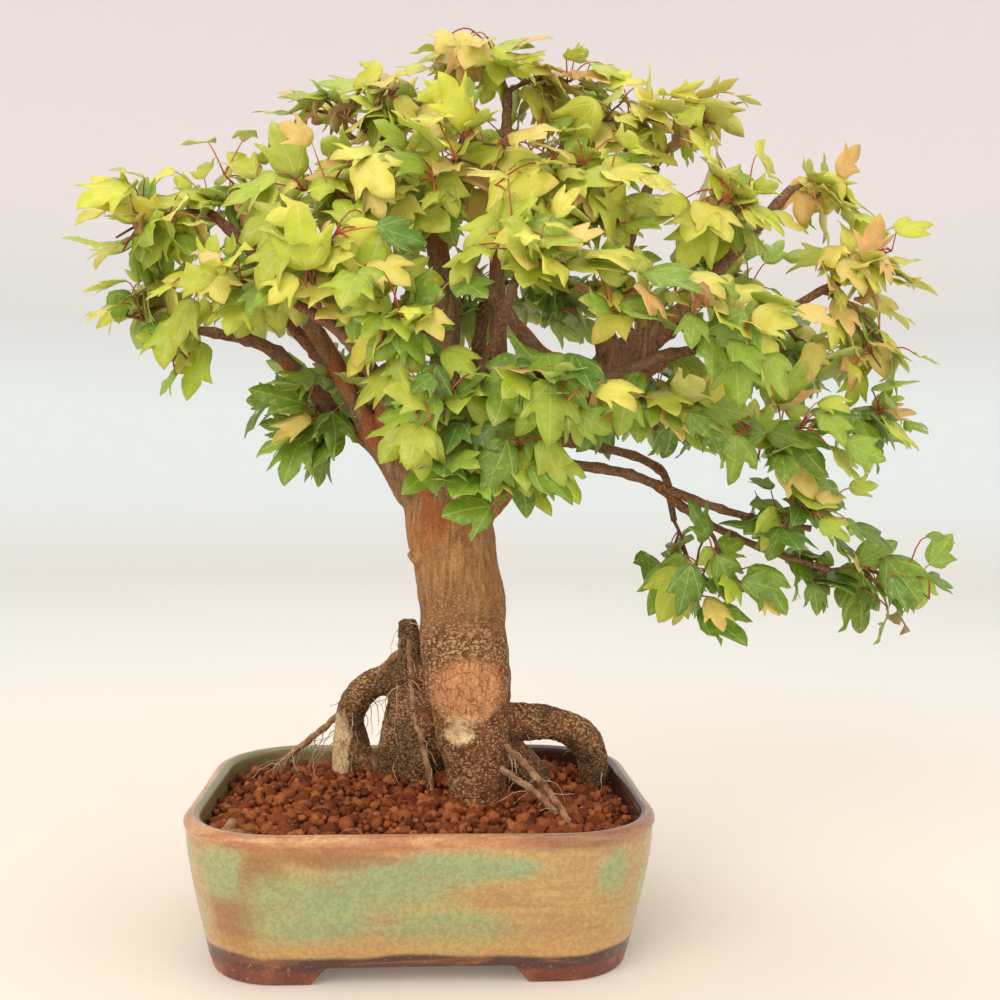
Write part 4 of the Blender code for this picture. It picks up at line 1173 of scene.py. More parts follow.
def bent(x, y, z, fold, droop, curl, twist, wave):
    """Where a point of the flat leaf goes: folded along the middle, tips drooping, curled and twisted."""
    z = z + fold * abs(x) - droop * x * x * 1.6 + wave * math.sin(9 * y + 5 * x) * abs(x)
    if abs(curl) > 1e-3:
        angle = curl * y
        along = math.sin(angle) / curl + z * math.sin(angle)
        lift = z * math.cos(angle) - (1 - math.cos(angle)) / curl
    else:
        along = y
        lift = z
    turn = twist * y
    across = x * math.cos(turn) - lift * math.sin(turn)
    return (across, along, x * math.sin(turn) + lift * math.cos(turn))


# Leaf colours, from the shaded inside of the crown to its sunlit outside, then the ageing leaves'.
LEAF_TONES = {
    "shaded": [(98, 130, 36), (114, 144, 40), (90, 126, 44)],
    "plain": [(152, 176, 48), (170, 186, 54), (134, 164, 48), (182, 190, 62)],
    "fresh_and_lit": [(208, 208, 66), (220, 214, 78), (194, 204, 60), (228, 216, 94)],
    "turning": [(232, 202, 106), (236, 192, 110), (224, 204, 92), (230, 170, 106)],
    "dry": [(176, 100, 58), (202, 118, 72), (150, 86, 54)],
}


# How many leaves in one are dry.
DRY_SHARE = 0.022
# How much smaller a dry leaf is.
DRY_SIZE = 0.62


def leaf_tones(place, rng):
    """A leaf's kind, and the colours of its blade, tips and underside, by how much light it gets."""
    p = (place - MIDDLE) / MM
    out = abs(p.x - 20)
    light = 0.55 * ease(p.z, 190, 390) + 0.35 * ease(-p.y, -40, 60) + 0.25 * ease(out, 40, 190)
    shade = 0.20 * ease(p.x, 100, 170) * (1 - ease(p.z, 200, 270))
    light += rng.gauss(0, 0.16) - 0.22 * ease(p.y, 20, 70) - shade
    chance = rng.random()
    turning = 0.06 + 0.34 * ease(p.z, 330, 400) + 0.26 * ease(out, 110, 180) * ease(p.z, 230, 300)
    if chance < DRY_SHARE:
        kind = "dry"
    elif chance < DRY_SHARE + turning:
        kind = "turning"
    elif light < 0.34:
        kind = "shaded"
    elif light < 0.66:
        kind = "plain"
    else:
        kind = "fresh_and_lit"
    base = Vector(colour(*rng.choice(LEAF_TONES[kind])))
    base *= rng.uniform(0.88, 1.12)
    tip = base.copy()
    if kind in ("fresh_and_lit", "turning") and rng.random() < 0.5:
        tip = base.lerp(Vector(colour(214, 150, 84)), rng.uniform(0.2, 0.7))
    elif kind == "plain" and rng.random() < 0.25:
        tip = base.lerp(Vector(colour(190, 170, 80)), 0.4)
    under = base.lerp(Vector(colour(190, 204, 130)), 0.5 if kind != "dry" else 0.1)
    return kind, base, tip, under


class Crown:
    """The leaves placed so far, and the branches that a twig can start from."""

    def __init__(self, foliage):
        self.foliage = foliage
        self.middles = []
        self.branches = WoodMap(BRANCHES)
        low, high = CAD_BOUNDS
        self.low = low - Vector(LOW_OUTSIDE) * MOST_OUTSIDE
        self.high = high + Vector(HIGH_OUTSIDE) * MOST_OUTSIDE

    def is_free(self, middle, apart):
        return all((middle - other).length > apart for other in self.middles)

    def in_clearing(self, place):
        x, y, z = (place - MIDDLE) / MM
        if y >= CLEARING_BACK:
            return False
        return any(low[0] < x < high[0] and low[1] < z < high[1] for low, high in CLEARINGS)

    def holds(self, place):
        return all(a < b < c for a, b, c in zip(self.low, place, self.high))


def outward_from_trunk(centre):
    """Level way from the trunk's top to a place, or to the front where the place is above the trunk."""
    way = centre - spot(*TRUNK[-1][:3])
    way.z = 0
    return way.normalized() if way.length > 20 * MM else Vector((0, -1, 0))


def bowed(start, end, bow, steps, radius_start, radius_end):
    """A run from start to end that bows by the vector bow in its middle."""
    run = []
    for k in range(steps + 1):
        t = k / steps
        radius = radius_start + (radius_end - radius_start) * t
        run.append((start.lerp(end, t) + bow * 4 * t * (1 - t), radius))
    return run


# How many side twigs a shoot's twig carries.
SIDE_TWIGS = 4
# A leaf's length as a share of the setting: one of these.
LEAF_SIZES = (0.6, 0.72, 0.85, 0.95, 1.0, 1.08, 1.22)
# How often a place is sought for a leaf, and after how many tries it may be nearer to its neighbours.
LEAF_TRIES = 60
PATIENT_TRIES = 40
# The shortest and the longest stalk of a leaf.
STALK_LENGTHS = (3 * MM, 32 * MM)


def shoot_twigs(crown, centre, spread, rng):
    """Twigs that grow from the nearest branches into a shoot's place."""
    outward = outward_from_trunk(centre)
    thick = crown.foliage.twig_radius
    start, radius, _ = crown.branches.nearest(centre - outward * spread.length * 0.35)
    end = centre + outward * spread.length * 0.30 + any_way(rng) * 4 * MM
    reach = (end - start).length
    runs = [bowed(start, end, UP * reach * 0.10, 7, max(thick, radius * 0.6), thick * 0.55)]
    for _ in range(SIDE_TWIGS):
        heel = runs[0][rng.randint(2, 5)][0]
        way = any_way(rng)
        tip = centre + Vector(s * w for s, w in zip(spread, way)) * 0.72
        bow = (UP + any_way(rng)) * (tip - heel).length * 0.08
        runs.append(bowed(heel, tip, bow, 5, thick * 0.7, thick * 0.42))
    return [knotty(run, rng, 9 * MM, 0.25 * MM) for run in runs]


def place_leaf(crown, centre, spread, twigs, rng):
    """Where a leaf of a shoot goes: (stalk start, blade base, tip way, face way, length), or None."""
    outward = outward_from_trunk(centre)
    foliage = crown.foliage
    knots = [place for run in twigs for place, _ in run[2:]]
    for attempt in range(LEAF_TRIES):
        way = any_way(rng)
        way.z *= 1 if way.z > 0 else 0.72
        middle = centre + Vector(s * w for s, w in zip(spread, way)) * rng.uniform(0.35, 1.8)
        length = foliage.length * rng.choice(LEAF_SIZES)
        apart = foliage.apart * (1 if attempt < PATIENT_TRIES else 0.75)
        if not crown.is_free(middle, apart) or crown.in_clearing(middle):
            continue
        start = min(knots, key=lambda q: abs((q - middle).length - 0.62 * length))
        away = (middle - start).normalized()
        high = ease(centre.z - MIDDLE.z, 0.20, 0.33)
        tip_way = away * 0.9 + outward * 0.35 - UP * rng.uniform(0.1, 1.0 - 0.35 * high)
        tip_way = (tip_way + any_way(rng) * 0.5).normalized()
        face_way = outward * rng.uniform(0.1, 0.6) + UP * rng.uniform(0.4, 1.0) + any_way(rng) * 0.45
        face_way += Vector((0, -0.95 + 0.35 * high, 0)) * ease(-(centre.y - MIDDLE.y), -0.04, 0.02)
        base = middle - tip_way * length * 0.5
        stalk = (base - start).length
        if not STALK_LENGTHS[0] < stalk < STALK_LENGTHS[1]:
            continue
        if not (crown.holds(middle + tip_way * length * 0.52) and crown.holds(base)):
            continue
        crown.middles.append(middle)
        return start, base, tip_way, face_way, length
    return None


def add_leaf(bm, shape, base, along, face_way, length, tones, rng):
    """Adds a leaf from its blade's base along a way, its face turned as near to face_way as it can be."""
    across = along.cross(face_way).normalized()
    face = across.cross(along).normalized()
    kind, tone, tip, under = tones
    is_dry = kind == "dry"
    fold = rng.uniform(0.0, 0.3) if not is_dry else 1.1
    droop = rng.uniform(0.0, 0.35)
    curl = rng.uniform(-0.1, 0.6) if not is_dry else 2.6
    twist = rng.gauss(0, 0.25)
    wave = rng.uniform(0.04, 0.24) if not is_dry else 0.5
    length *= DRY_SIZE if is_dry else 1
    corners = add_copy(bm, shape)
    tint = bm.verts.layers.float_color["tint"]
    for vert in corners:
        x, y, z = vert.co
        share = ease(max(y, 1.6 * abs(x)), 0.62, 1.0)
        shade = under if z < -1e-4 else tone.lerp(tip, share)
        vert[tint] = (*shade, 1)
        x, y, z = bent(x, y, z, fold, droop, curl, twist, wave)
        vert.co = base + length * (across * x + along * y + face * z)


def foliage_meshes(foliage, rng):
    """The leaves of each part of the crown, and all twigs and all stalks as runs."""
    shapes = [leaf_shape(foliage, *shape) for shape in LEAF_SHAPES]
    crown = Crown(foliage)
    twigs = []
    stalks = []
    meshes = {}
    middling = math.prod(MIDDLING_SPREAD) * MM**3
    for part, starts in CROWN_PARTS.items():
        bm = bmesh.new()
        for name, (place, spread) in SHOOTS.items():
            if not name.startswith(starts):
                continue
            centre = spot(*place)
            spread = Vector(spread) * MM
            own_twigs = shoot_twigs(crown, centre, spread, rng)
            twigs += own_twigs
            share = (spread.x * spread.y * spread.z / middling) ** 0.75
            share *= CASCADE_SHARE if part == "cascade" else 1
            for _ in range(round(foliage.leaves * share)):
                found = place_leaf(crown, centre, spread, own_twigs, rng)
                if found is None:
                    continue
                start, base, tip_way, face_way, length = found
                tones = leaf_tones(base, rng)
                add_leaf(bm, rng.choice(shapes), base, tip_way, face_way, length, tones, rng)
                bow = (UP * rng.uniform(0.0, 0.22) + any_way(rng) * 0.05) * (base - start).length
                end = base + tip_way * length * 0.02
                thick = foliage.stalk_radius
                stalks.append(bowed(start, end, bow, 4, thick, thick * 0.7))
        meshes[part] = mesh_from(bm, "leaves_" + part)
    return meshes, twigs, stalks


# Finishes ----------------------------------------------------------------------------------------


# Patches of colour on the front of the pot: (middle, reach) in millimetres.
GREEN_PATCHES = (
    ((-44, -78, 32), (27, 40, 16)),
    ((-12, -80, 42), (30, 40, 13)),
    ((12, -80, 50), (28, 40, 8)),
    ((38, -78, 50), (12, 40, 5)),
    ((-78, -62, 46), (11, 40, 14)),
    ((80, -62, 46), (7, 40, 11)),
    ((10, -78, 22), (30, 40, 9)),
)
BROWN_PATCHES = (
    ((-62, -76, 44), (11, 40, 12)),
    ((-40, -80, 56), (30, 40, 5)),
    ((-76, -74, 27), (11, 40, 14)),
)


def glaze_finish(pot):
    """Ochre glaze with green patches, thin and brown on the rim with a partly painted highlight, over a dark
    band and clay feet.
    """
    f = Finish("pot_glaze")
    flat = f.place()
    v = f.wobble(flat, 14, 0.024)
    v = f.wobble(v, 70, 0.004)
    _, _, height = f.split(f.wobble(flat, 20, 0.007))
    left_right, depth, _ = f.split(flat)
    cloud = f.grit(f.place((1, 1, 2.2)), 20, 6, 0.62, 0.6)
    smear = f.grit(f.place((0.6, 0.6, 3.2)), 42, 6, 0.65, 1.2)
    fine = f.grit(flat, 520, 4, 0.6)
    speckle = f.cells(flat, 620)

    on_front = f.between(depth, -0.052, -0.070)
    # Green patches: laid out on the front, scattered by noise elsewhere.
    green_front = f.patches(v, GREEN_PATCHES)
    green_else = f.between(cloud, 0.44, 0.58)
    green = f.calc("MULTIPLY_ADD", on_front, f.minus(green_front, green_else), green_else)
    green = f.times(green, f.between(smear, 0.28, 0.52, 0.45, 1.0))
    brown_front = f.patches(v, BROWN_PATCHES)
    streaks = f.between(smear, 0.52, 0.70)
    right = f.between(left_right, 0.015, 0.06)
    brown = f.most(brown_front, f.times(streaks, f.calc("MULTIPLY_ADD", right, 0.45, 0.35)))

    pale = colour(206, 176, 110)
    tone = f.mix(f.between(smear, 0.35, 0.7), pot.ochre, pale)
    tone = f.mix(f.times(brown, 0.75), tone, pot.brown)
    green_tone = f.mix(f.between(cloud, 0.4, 0.65), pot.green, colour(164, 176, 116))
    tone = f.mix(f.times(green, 0.9), tone, green_tone)
    # The glaze pools yellow above the dark band, and is thin and brown at the rim, whose lighter tone is
    # partly a painted highlight.
    pool = f.times(f.between(height, 0.011, 0.0145), f.between(height, 0.024, 0.0165))
    tone = f.mix(f.times(pool, 0.6), tone, colour(206, 158, 92))
    rim_edge = f.times(f.between(height, 0.0555, 0.0612), 0.9)
    # The rim's light tone is partly a painted highlight on the rounded bead.
    rim_tone = f.mix(f.between(smear, 0.4, 0.66), colour(190, 122, 78), colour(228, 174, 120))
    rim_tone = f.mix(f.times(right, 0.6), rim_tone, colour(120, 70, 56))
    tone = f.mix(rim_edge, tone, rim_tone)
    inside = f.stored("inside")
    olive = f.mix(f.between(left_right, -0.02, 0.06), colour(142, 132, 86), colour(76, 46, 44))
    tone = f.mix(inside, tone, olive)
    band = f.between(height, 0.0138, 0.0118)
    band_tone = f.mix(f.between(smear, 0.5, 0.72), pot.purple, colour(150, 92, 56))
    tone = f.mix(band, tone, band_tone)
    clay = f.between(height, 0.0085, 0.0065)
    clay_tone = f.mix(f.between(f.grit(flat, 60, 5), 0.42, 0.66), pot.clay, colour(160, 92, 58))
    tone = f.mix(clay, tone, clay_tone)
    tone = f.mix(f.between(fine, 0.38, 0.62, 0.0, 0.28), tone, colour(120, 84, 50), "MULTIPLY")
    tone = f.mix(f.between(fine, 0.58, 0.72, 0.0, 0.25), tone, colour(228, 204, 150))
    pit = f.times(f.between(speckle, 0.16, 0.10), f.between(f.grit(flat, 170, 2), 0.60, 0.66))
    tone = f.mix(f.times(pit, 0.8), tone, colour(70, 48, 34))
    roughness = f.plus(f.between(fine, 0.3, 0.7, 0.26, 0.40), f.times(clay, 0.25))
    ripple = f.relief(f.grit(flat, 60, 2), 0.35 * MM)
    normal = f.relief(f.minus(fine, pit), 0.07 * MM, ripple)
    return f.done(tone, roughness, normal, coat_weight=0.35, coat_roughness=0.12)


def soil_finish(soil, name, is_bed):
    """Fired clay: matt, gritty, each granule in its own stored tint. The bed under them is darker, as
    painted shade in the gaps between them.
    """
    f = Finish(name)
    v = f.place()
    own = f.grit(v, 160, 3) if is_bed else f.stored("tint")
    tone = f.ramp(own, (0.15, soil.dark), (0.5, soil.clay), (0.85, soil.light))
    grit = f.grit(v, 700, 4, 0.6)
    tone = f.mix(f.between(grit, 0.35, 0.65, 0.0, 0.3), tone, colour(150, 84, 50), "MULTIPLY")
    tone = f.mix(f.between(grit, 0.58, 0.74, 0.0, 0.25), tone, colour(214, 150, 104))
    # The bed shows only in the gaps between the granules, and is darkened there as painted shade.
    if is_bed:
        tone = f.mix(0.7, tone, colour(70, 34, 20))
    normal = f.relief(grit, 0.35 * MM, f.relief(f.grit(v, 260, 3), 0.7 * MM))
    return f.done(tone, 0.93, normal, specular=0.2)


def bark_finish(wood):
    """Smooth tan bark above, dark specked bark below, cut wood and moss where the mesh says so. The palest
    cut wood is partly painted light, and the moss on the old stump and the dark knobs is partly painted
    shade.
    """
    f = Finish("bark")
    v = f.place()
    old, cut, moss = f.channels("zones")
    _, _, height = f.split(f.wobble(v, 30, 0.02))
    grain = f.grit(f.place((1, 1, 0.22)), 420, 5, 0.6, 0.4)
    blotch = f.grit(v, 55, 4, 0.6)
    fine = f.grit(v, 1100, 3, 0.6)
    smooth = f.ramp(grain, (0.3, colour(126, 90, 56)), (0.5, wood.tan), (0.68, colour(198, 152, 98)))
    smooth = f.mix(f.between(blotch, 0.42, 0.62, 0.0, 0.6), smooth, colour(150, 118, 88))
    # Above, towards the limbs, the bark is greyer and has peeled to orange brown in places.
    high = f.between(height, 0.180, 0.205)
    weathered = f.ramp(
        grain, (0.32, colour(84, 62, 46)), (0.52, colour(136, 104, 76)), (0.7, colour(172, 140, 106))
    )
    smooth = f.mix(f.times(high, 0.8), smooth, weathered)
    flakes = f.grit(f.place((1, 1, 0.45)), 60, 4)
    peel = f.times(f.between(flakes, 0.53, 0.60), f.between(height, 0.165, 0.19))
    smooth = f.mix(f.times(peel, 0.75), smooth, wood.peeled)
    reddish = f.between(blotch, 0.5, 0.7, 0.0, 0.35)
    smooth = f.mix(reddish, smooth, colour(176, 116, 72))

    rough = f.grit(v, 240, 5, 0.65)
    dark = f.ramp(rough, (0.32, colour(84, 50, 30)), (0.52, wood.dark), (0.72, colour(166, 112, 70)))
    speck_size = f.between(f.grit(v, 45, 3), 0.35, 0.65, 0.38, 0.56)
    dash = f.cells(f.wobble(f.place((0.8, 0.8, 1.4)), 400, 0.0016), 600)
    dot = f.cells(f.wobble(v, 400, 0.0016), 980)
    speck = f.calc("LESS_THAN", f.minus(dash, f.times(speck_size, 0.82)), 0.0)
    small = f.calc("LESS_THAN", f.minus(dot, f.times(speck_size, 0.58)), 0.0)
    speck = f.most(speck, f.times(small, 0.8))
    speck = f.times(speck, f.between(blotch, 0.34, 0.46, 0.35, 1.0))
    speck_tone = f.mix(f.between(fine, 0.35, 0.65), wood.speck, colour(170, 122, 80))
    specked = f.mix(speck, dark, speck_tone)
    mossy = f.mix(f.between(f.grit(v, 380, 4), 0.4, 0.62), colour(44, 34, 22), wood.moss)
    mossy = f.mix(f.times(small, 0.65), mossy, colour(186, 158, 112))
    # Moss darkens the bark: partly real moss, and on the old stump and the dark knobs partly painted shade.
    specked = f.mix(f.times(moss, 0.85), specked, mossy)
    tone = f.mix(old, smooth, specked)

    streak = f.grit(f.place((1, 1, 0.2)), 700, 4, 0.6)
    raw = f.ramp(streak, (0.3, colour(204, 134, 86)), (0.55, wood.cut), (0.75, colour(244, 196, 144)))
    bent_place = f.wobble(f.place((1.2, 1.2, 0.8)), 160, 0.009)
    crack = f.between(f.cells(bent_place, 190, "DISTANCE_TO_EDGE"), 0.035, 0.012)
    raw = f.mix(f.times(crack, 0.35), raw, colour(120, 72, 46))
    # The palest tone of the raw cut and of the stripped face on the left arch is fresh cut wood, lightened
    # further as painted light where these faces lie in shade.
    fresh_and_lit = f.patch(v, (RAW_CUT[0], -18, RAW_CUT[1]), (RAW_CUT[2] * 1.4, 20, RAW_CUT[3] * 1.4))
    fresh_and_lit = f.most(fresh_and_lit, f.patch(v, (-43, 36, 74), (22, 34, 36)))
    pale = f.ramp(streak, (0.32, colour(240, 190, 128)), (0.6, colour(255, 226, 174)))
    raw = f.mix(fresh_and_lit, raw, pale)
    tone = f.mix(cut, tone, raw)
    tone = f.mix(f.between(fine, 0.35, 0.6, 0.35, 0.0), tone, colour(90, 60, 40), "MULTIPLY")

    bumps = f.plus(f.times(grain, 0.7), f.times(f.times(speck, old), 0.5))
    bumps = f.minus(bumps, f.times(f.times(crack, cut), 0.8))
    normal = f.relief(fine, 0.15 * MM, f.relief(bumps, 0.8 * MM))
    return f.done(tone, f.between(grain, 0.3, 0.7, 0.72, 0.92), normal, specular=0.25)


def young_bark_finish(wood):
    f = Finish("young_bark")
    v = f.place()
    left_right, _, _ = f.split(v)
    fine = f.grit(v, 620, 5, 0.65)
    slow = f.grit(v, 40, 3)
    tone = f.ramp(fine, (0.3, colour(78, 50, 34)), (0.5, wood.twig), (0.72, colour(178, 136, 96)))
    red = f.mix(f.between(fine, 0.35, 0.65), colour(92, 48, 34), colour(150, 88, 58))
    tone = f.mix(f.between(left_right, 0.02, -0.03, 0.0, 0.7), tone, red)
    tone = f.mix(f.between(slow, 0.45, 0.62, 0.0, 0.5), tone, colour(134, 108, 84))
    speck = f.between(f.cells(v, 900), 0.24, 0.14)
    tone = f.mix(f.times(speck, 0.5), tone, colour(206, 176, 134))
    normal = f.relief(f.plus(fine, f.times(speck, 0.5)), 0.3 * MM)
    return f.done(tone, 0.75, normal, specular=0.3)


def root_finish(name, low, middle, high):
    f = Finish(name)
    v = f.place()
    fine = f.grit(v, 500, 5, 0.65)
    tone = f.ramp(f.grit(v, 130, 4, 0.6), (0.3, low), (0.5, middle), (0.7, high))
    tone = f.mix(f.between(fine, 0.35, 0.6, 0.4, 0.0), tone, colour(110, 76, 52), "MULTIPLY")
    return f.done(tone, 0.85, f.relief(fine, 0.25 * MM), specular=0.2)


def leaf_finish(foliage):
    """A leaf in the colour stored on it, with paler veins from its blade's map and a satin face."""
    f = Finish("leaf")
    v = f.place()
    u, along, _ = f.split(f.node("ShaderNodeUVMap", uv_map="blade").outputs["UV"])
    across = f.calc("ABSOLUTE", f.calc("DIVIDE", f.minus(u, 0.5), 0.9))
    side = f.calc("MULTIPLY_ADD", across, 0.789, f.times(f.minus(along, 0.02), -0.615))
    middle = f.between(across, 0.022, 0.006)
    lateral = f.times(f.between(f.calc("ABSOLUTE", side), 0.018, 0.005), f.between(along, 0.72, 0.6))
    rung = f.calc("FRACT", f.times(f.minus(along, f.times(across, 0.9)), 8))
    rungs = f.between(f.calc("ABSOLUTE", f.minus(rung, 0.5)), 0.085, 0.02)
    vein = f.most(f.most(middle, lateral), f.times(rungs, 0.25))
    own = f.stored("tint")
    blotch = f.grit(v, 120, 4, 0.6)
    tone = f.mix(f.between(blotch, 0.42, 0.66, 0.0, 0.35), own, colour(196, 206, 96), "MULTIPLY")
    tone = f.mix(f.between(f.grit(v, 420, 3), 0.5, 0.7, 0.0, 0.22), tone, colour(210, 214, 120))
    tone = f.mix(f.times(vein, 0.26), tone, foliage.vein)
    normal = f.relief(f.minus(f.grit(v, 500, 2), vein), 0.12 * MM)
    return f.done(
        tone,
        0.42,
        normal,
        specular=0.4,
        subsurface_weight=0.25,
        subsurface_radius=(0.004, 0.006, 0.0015),
        subsurface_scale=0.6,
    )


def stalk_finish(foliage):
    f = Finish("leaf_stalk")
    tint = f.grit(f.place(), 60, 2)
    tone = f.ramp(tint, (0.36, colour(170, 66, 50)), (0.5, foliage.stalk), (0.64, colour(196, 160, 92)))
    return f.done(tone, 0.45, specular=0.4)


def plastic_finish():
    f = Finish("net_plastic")
    fine = f.grit(f.place(), 1500, 3)
    tone = f.ramp(fine, (0.35, colour(24, 26, 26)), (0.65, colour(46, 48, 48)))
    return f.done(tone, f.between(fine, 0.3, 0.7, 0.42, 0.6), f.relief(fine, 0.05 * MM))


def wire_finish():
    f = Finish("clip_wire")
    fine = f.grit(f.place((1, 1, 0.2)), 2200, 3)
    tone = f.ramp(fine, (0.35, colour(150, 150, 152)), (0.65, colour(190, 190, 194)))
    return f.done(tone, f.between(fine, 0.3, 0.7, 0.25, 0.42), metallic=1.0)


def backdrop_finish(stage):
    f = Finish("backdrop")
    left_right, depth, height = f.split(f.place())
    squares = f.plus(f.times(left_right, left_right), f.times(depth, depth))
    floor = f.mix(f.between(f.calc("SQRT", squares), 0.25, 1.0), stage.cream, stage.far)
    up = f.between(height, 0.0, 1.3)
    wall = f.ramp(up, (0.1, stage.pale), (0.2, stage.pale), (0.45, stage.middle), (0.84, stage.high))
    tone = f.mix(f.between(height, 0.0, 0.2), floor, wall)
    f.put(f.shader.inputs["Emission Color"], tone)
    return f.done(tone, 0.9, specular=0.1, emission_strength=0.18)


# Pieces ------------------------------------------------------------------------------------------


class BonsaiBuildPot(bpy.types.Operator):
    """Build the glazed pot with its feet and drain holes"""

    bl_idname = "bonsai.build_pot"
    bl_label = "Build pot"

    def execute(self, context):
        pot = context.scene.bonsai_pot
        add_piece("pot_body", pot_mesh(pot), glaze_finish(pot), ["pot"])
        return {"FINISHED"}


class BonsaiFinishDrainage(bpy.types.Operator):
    """Give the drain nets and their wire clips their finishes"""

    bl_idname = "bonsai.finish_drainage"
    bl_label = "Finish drainage"

    def execute(self, context):
        finishes = {"drain_net_": plastic_finish(), "drain_clip_": wire_finish()}
        for start, finish in finishes.items():
            for side in ("left", "right"):
                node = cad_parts[start + side]
                node.data.materials.clear()
                node.data.materials.append(finish)
        return {"FINISHED"}


class BonsaiBuildSoil(bpy.types.Operator):
    """Build the bed of soil and the loose granules on it"""

    bl_idname = "bonsai.build_soil"
    bl_label = "Build soil"

    def execute(self, context):
        pot = context.scene.bonsai_pot
        soil = context.scene.bonsai_soil
        bed = soil_finish(soil, "soil_bed", is_bed=True)
        grains = soil_finish(soil, "soil_granules", is_bed=False)
        add_piece("soil_bed", soil_bed_mesh(pot, soil), bed, ["soil"])
        mesh = granules_mesh(pot, soil, random.Random(SOIL_SEED))
        add_piece("soil_granules", mesh, grains, ["soil"])
        return {"FINISHED"}


class BonsaiBuildWood(bpy.types.Operator):
    """Build the trunk with its roots and limbs, the thin branches and the thin roots"""

    bl_idname = "bonsai.build_wood"
    bl_label = "Build wood"

    def execute(self, context):
        pot = context.scene.bonsai_pot
        soil = context.scene.bonsai_soil
        wood = context.scene.bonsai_wood
        rng = random.Random(WOOD_SEED)
        node = ["trunk_roots_and_branches"]
        add_piece("trunk_roots_and_limbs", trunk_mesh(wood), bark_finish(wood), node)
        mesh = strands_mesh("branches", branch_runs(wood, rng), 3)
        add_piece("branches", mesh, young_bark_finish(wood), node)
        thin = []
        for route in (*ROOTS.values(), *THIN_EXTRAS.values()):
            if route[0][3] <= wood.thin / MM:
                thin.append(knotty(smoothed(route, 2.5), rng, 9 * MM, 0.4 * MM))
        finish = root_finish("thin_root", colour(112, 74, 52), colour(172, 128, 92), colour(218, 186, 144))
        add_piece("thin_roots", strands_mesh("thin_roots", thin, 2), finish, node)
        hair = strands_mesh("hair_roots", hair_root_runs(wood, pot, soil, rng), 0)
        finish = root_finish("hair_root", colour(150, 110, 84), colour(204, 172, 138), colour(236, 218, 192))
        add_piece("hair_roots", hair, finish, node)
        return {"FINISHED"}


class BonsaiBuildFoliage(bpy.types.Operator):
    """Build the twigs, leaf stalks and leaves of every shoot"""

    bl_idname = "bonsai.build_foliage"
    bl_label = "Build foliage"

    def execute(self, context):
        foliage = context.scene.bonsai_foliage
        meshes, twigs, stalks = foliage_meshes(foliage, random.Random(FOLIAGE_SEED))
        every = ["shoot_" + name for name in SHOOTS]
        blade = leaf_finish(foliage)
        for part, mesh in meshes.items():
            if not mesh.polygons:
                raise RuntimeError("no room for the leaves of the crown's part " + part)
            nodes = ["shoot_" + name for name in SHOOTS if name.startswith(CROWN_PARTS[part])]
            add_piece("leaves_" + part, mesh, blade, nodes)
        twig_bark = young_bark_finish(context.scene.bonsai_wood)
        add_piece("twigs", strands_mesh("twigs", twigs, 1), twig_bark, every)
        mesh = strands_mesh("leaf_stalks", stalks, 0)
        add_piece("leaf_stalks", mesh, stalk_finish(foliage), every)
        return {"FINISHED"}


class BonsaiBuildStage(bpy.types.Operator):
    """Set the pale floor and backdrop, the soft lights and the camera"""

    bl_idname = "bonsai.build_stage"
    bl_label = "Build stage"

    def execute(self, context):
        stage = context.scene.bonsai_stage
        build_backdrop(stage)
        build_lights(context.scene)
        build_camera(context.scene, stage)
        return {"FINISHED"}


# How many steps the curve between floor and wall has.
SWEEP_STEPS = 12


def build_backdrop(stage):
    """A round pale floor that sweeps up into a wall on every side."""
    bm = bmesh.new()
    profile = [(0.001, 0), (0.4, 0), (stage.radius, 0)]
    for step in range(1, SWEEP_STEPS + 1):
        angle = step / SWEEP_STEPS * math.pi / 2
        out = stage.radius + stage.sweep * math.sin(angle)
        profile.append((out, stage.sweep * (1 - math.cos(angle))))
    profile.append((stage.radius + stage.sweep, stage.height))
    verts = [bm.verts.new((out, 0, height)) for out, height in profile]
    edges = [bm.edges.new(pair) for pair in zip(verts, verts[1:])]
    bmesh.ops.spin(
        bm,
        geom=verts + edges,
        cent=(0, 0, 0),
        axis=(0, 0, 1),
        dvec=(0, 0, 0),
        angle=math.tau,
        steps=96,
        use_merge=True,
    )
    bmesh.ops.remove_doubles(bm, verts=bm.verts, dist=0.01)
    bmesh.ops.translate(bm, vec=(MIDDLE.x, MIDDLE.y, MIDDLE.z), verts=bm.verts)
    mesh = mesh_from(bm, "backdrop")
    mesh.materials.append(backdrop_finish(stage))
    mesh.shade_smooth()
    helper("backdrop", mesh)


def build_lights(scene):
    for name, place, aim, size, power, tint in LIGHTS:
        light = bpy.data.lights.new(name, "AREA")
        light.shape = "DISK"
        light.size = size
        light.energy = power
        light.color = tint
        obj = helper(name, light)
        obj.location = MIDDLE + Vector(place)
        obj.rotation_euler = (Vector(aim) - Vector(place)).to_track_quat("-Z", "Y").to_euler()
    world = bpy.data.worlds.new("studio")
    world.use_nodes = True
    sky = world.node_tree.nodes["Background"]
    sky.inputs["Color"].default_value = (*SKY, 1)
    sky.inputs["Strength"].default_value = SKY_STRENGTH
    scene.world = world


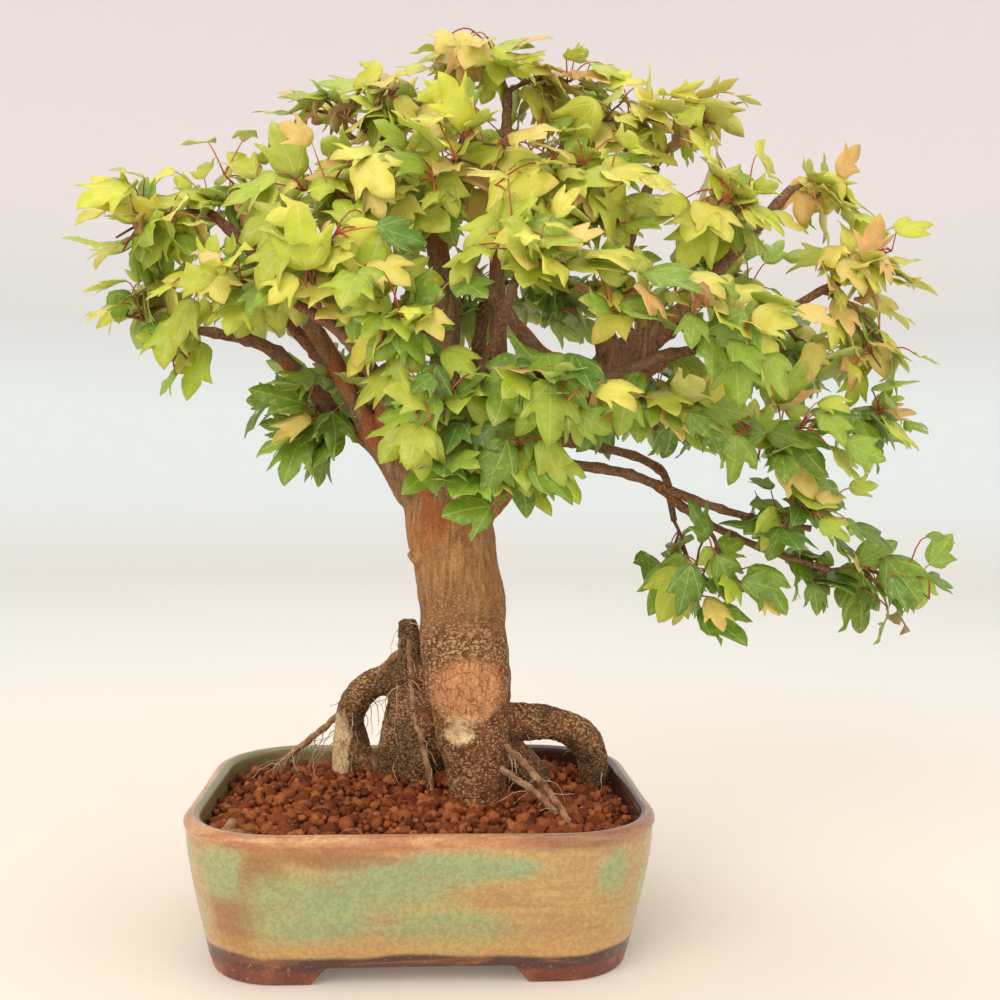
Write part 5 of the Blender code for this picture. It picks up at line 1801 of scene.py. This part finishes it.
def build_camera(scene, stage):
    """The camera stands in front, nearly level, turned a little to the right and rolled a little."""
    camera = bpy.data.cameras.new("camera")
    camera.lens = stage.lens
    camera.sensor_width = SENSOR_WIDTH
    camera.clip_start, camera.clip_end = CAMERA_CLIP
    obj = helper("camera", camera)
    east, north = math.sin(CAMERA_YAW), math.cos(CAMERA_YAW)
    ahead = Vector((east, north, 0)) * math.cos(CAMERA_PITCH) - UP * math.sin(CAMERA_PITCH)
    level = Vector((north, -east, 0))
    high = level.cross(ahead)
    right = level * math.cos(CAMERA_ROLL) + high * math.sin(CAMERA_ROLL)
    above = high * math.cos(CAMERA_ROLL) - level * math.sin(CAMERA_ROLL)
    turn = Matrix((right, above, -ahead)).transposed()
    obj.matrix_world = Matrix.Translation(spot(*CAMERA_PLACE)) @ turn.to_4x4()
    scene.camera = obj
    scene.view_settings.view_transform = "Standard"


class BonsaiPanel(bpy.types.Panel):
    """Lists the bonsai's sizes and colours, and the buttons that build it"""

    bl_idname = "VIEW3D_PT_bonsai"
    bl_label = "Bonsai tree in a pot"
    bl_space_type = "VIEW_3D"
    bl_region_type = "UI"
    bl_category = "Bonsai"

    def draw(self, context):
        for name, operators in PANEL_PARTS.items():
            box = self.layout.box()
            settings = getattr(context.scene, name)
            for prop in settings.__annotations__:
                box.prop(settings, prop)
            for operator in operators:
                box.operator(operator)


PANEL_PARTS = {
    "bonsai_pot": ("bonsai.build_pot", "bonsai.finish_drainage"),
    "bonsai_soil": ("bonsai.build_soil",),
    "bonsai_wood": ("bonsai.build_wood",),
    "bonsai_foliage": ("bonsai.build_foliage",),
    "bonsai_stage": ("bonsai.build_stage",),
}
SETTINGS = {
    "bonsai_pot": BonsaiPotSettings,
    "bonsai_soil": BonsaiSoilSettings,
    "bonsai_wood": BonsaiWoodSettings,
    "bonsai_foliage": BonsaiFoliageSettings,
    "bonsai_stage": BonsaiStageSettings,
}
CLASSES = (
    *SETTINGS.values(),
    BonsaiBuildPot,
    BonsaiFinishDrainage,
    BonsaiBuildSoil,
    BonsaiBuildWood,
    BonsaiBuildFoliage,
    BonsaiBuildStage,
    BonsaiPanel,
)


def register():
    for cls in CLASSES:
        bpy.utils.register_class(cls)
    for name, cls in SETTINGS.items():
        setattr(bpy.types.Scene, name, PointerProperty(type=cls))


def unregister():
    for name in SETTINGS:
        delattr(bpy.types.Scene, name)
    for cls in reversed(CLASSES):
        bpy.utils.unregister_class(cls)


def main():
    register()
    bpy.ops.bonsai.build_pot()
    bpy.ops.bonsai.finish_drainage()
    bpy.ops.bonsai.build_soil()
    bpy.ops.bonsai.build_wood()
    bpy.ops.bonsai.build_foliage()
    bpy.ops.bonsai.build_stage()


if __name__ == "__main__":
    main()
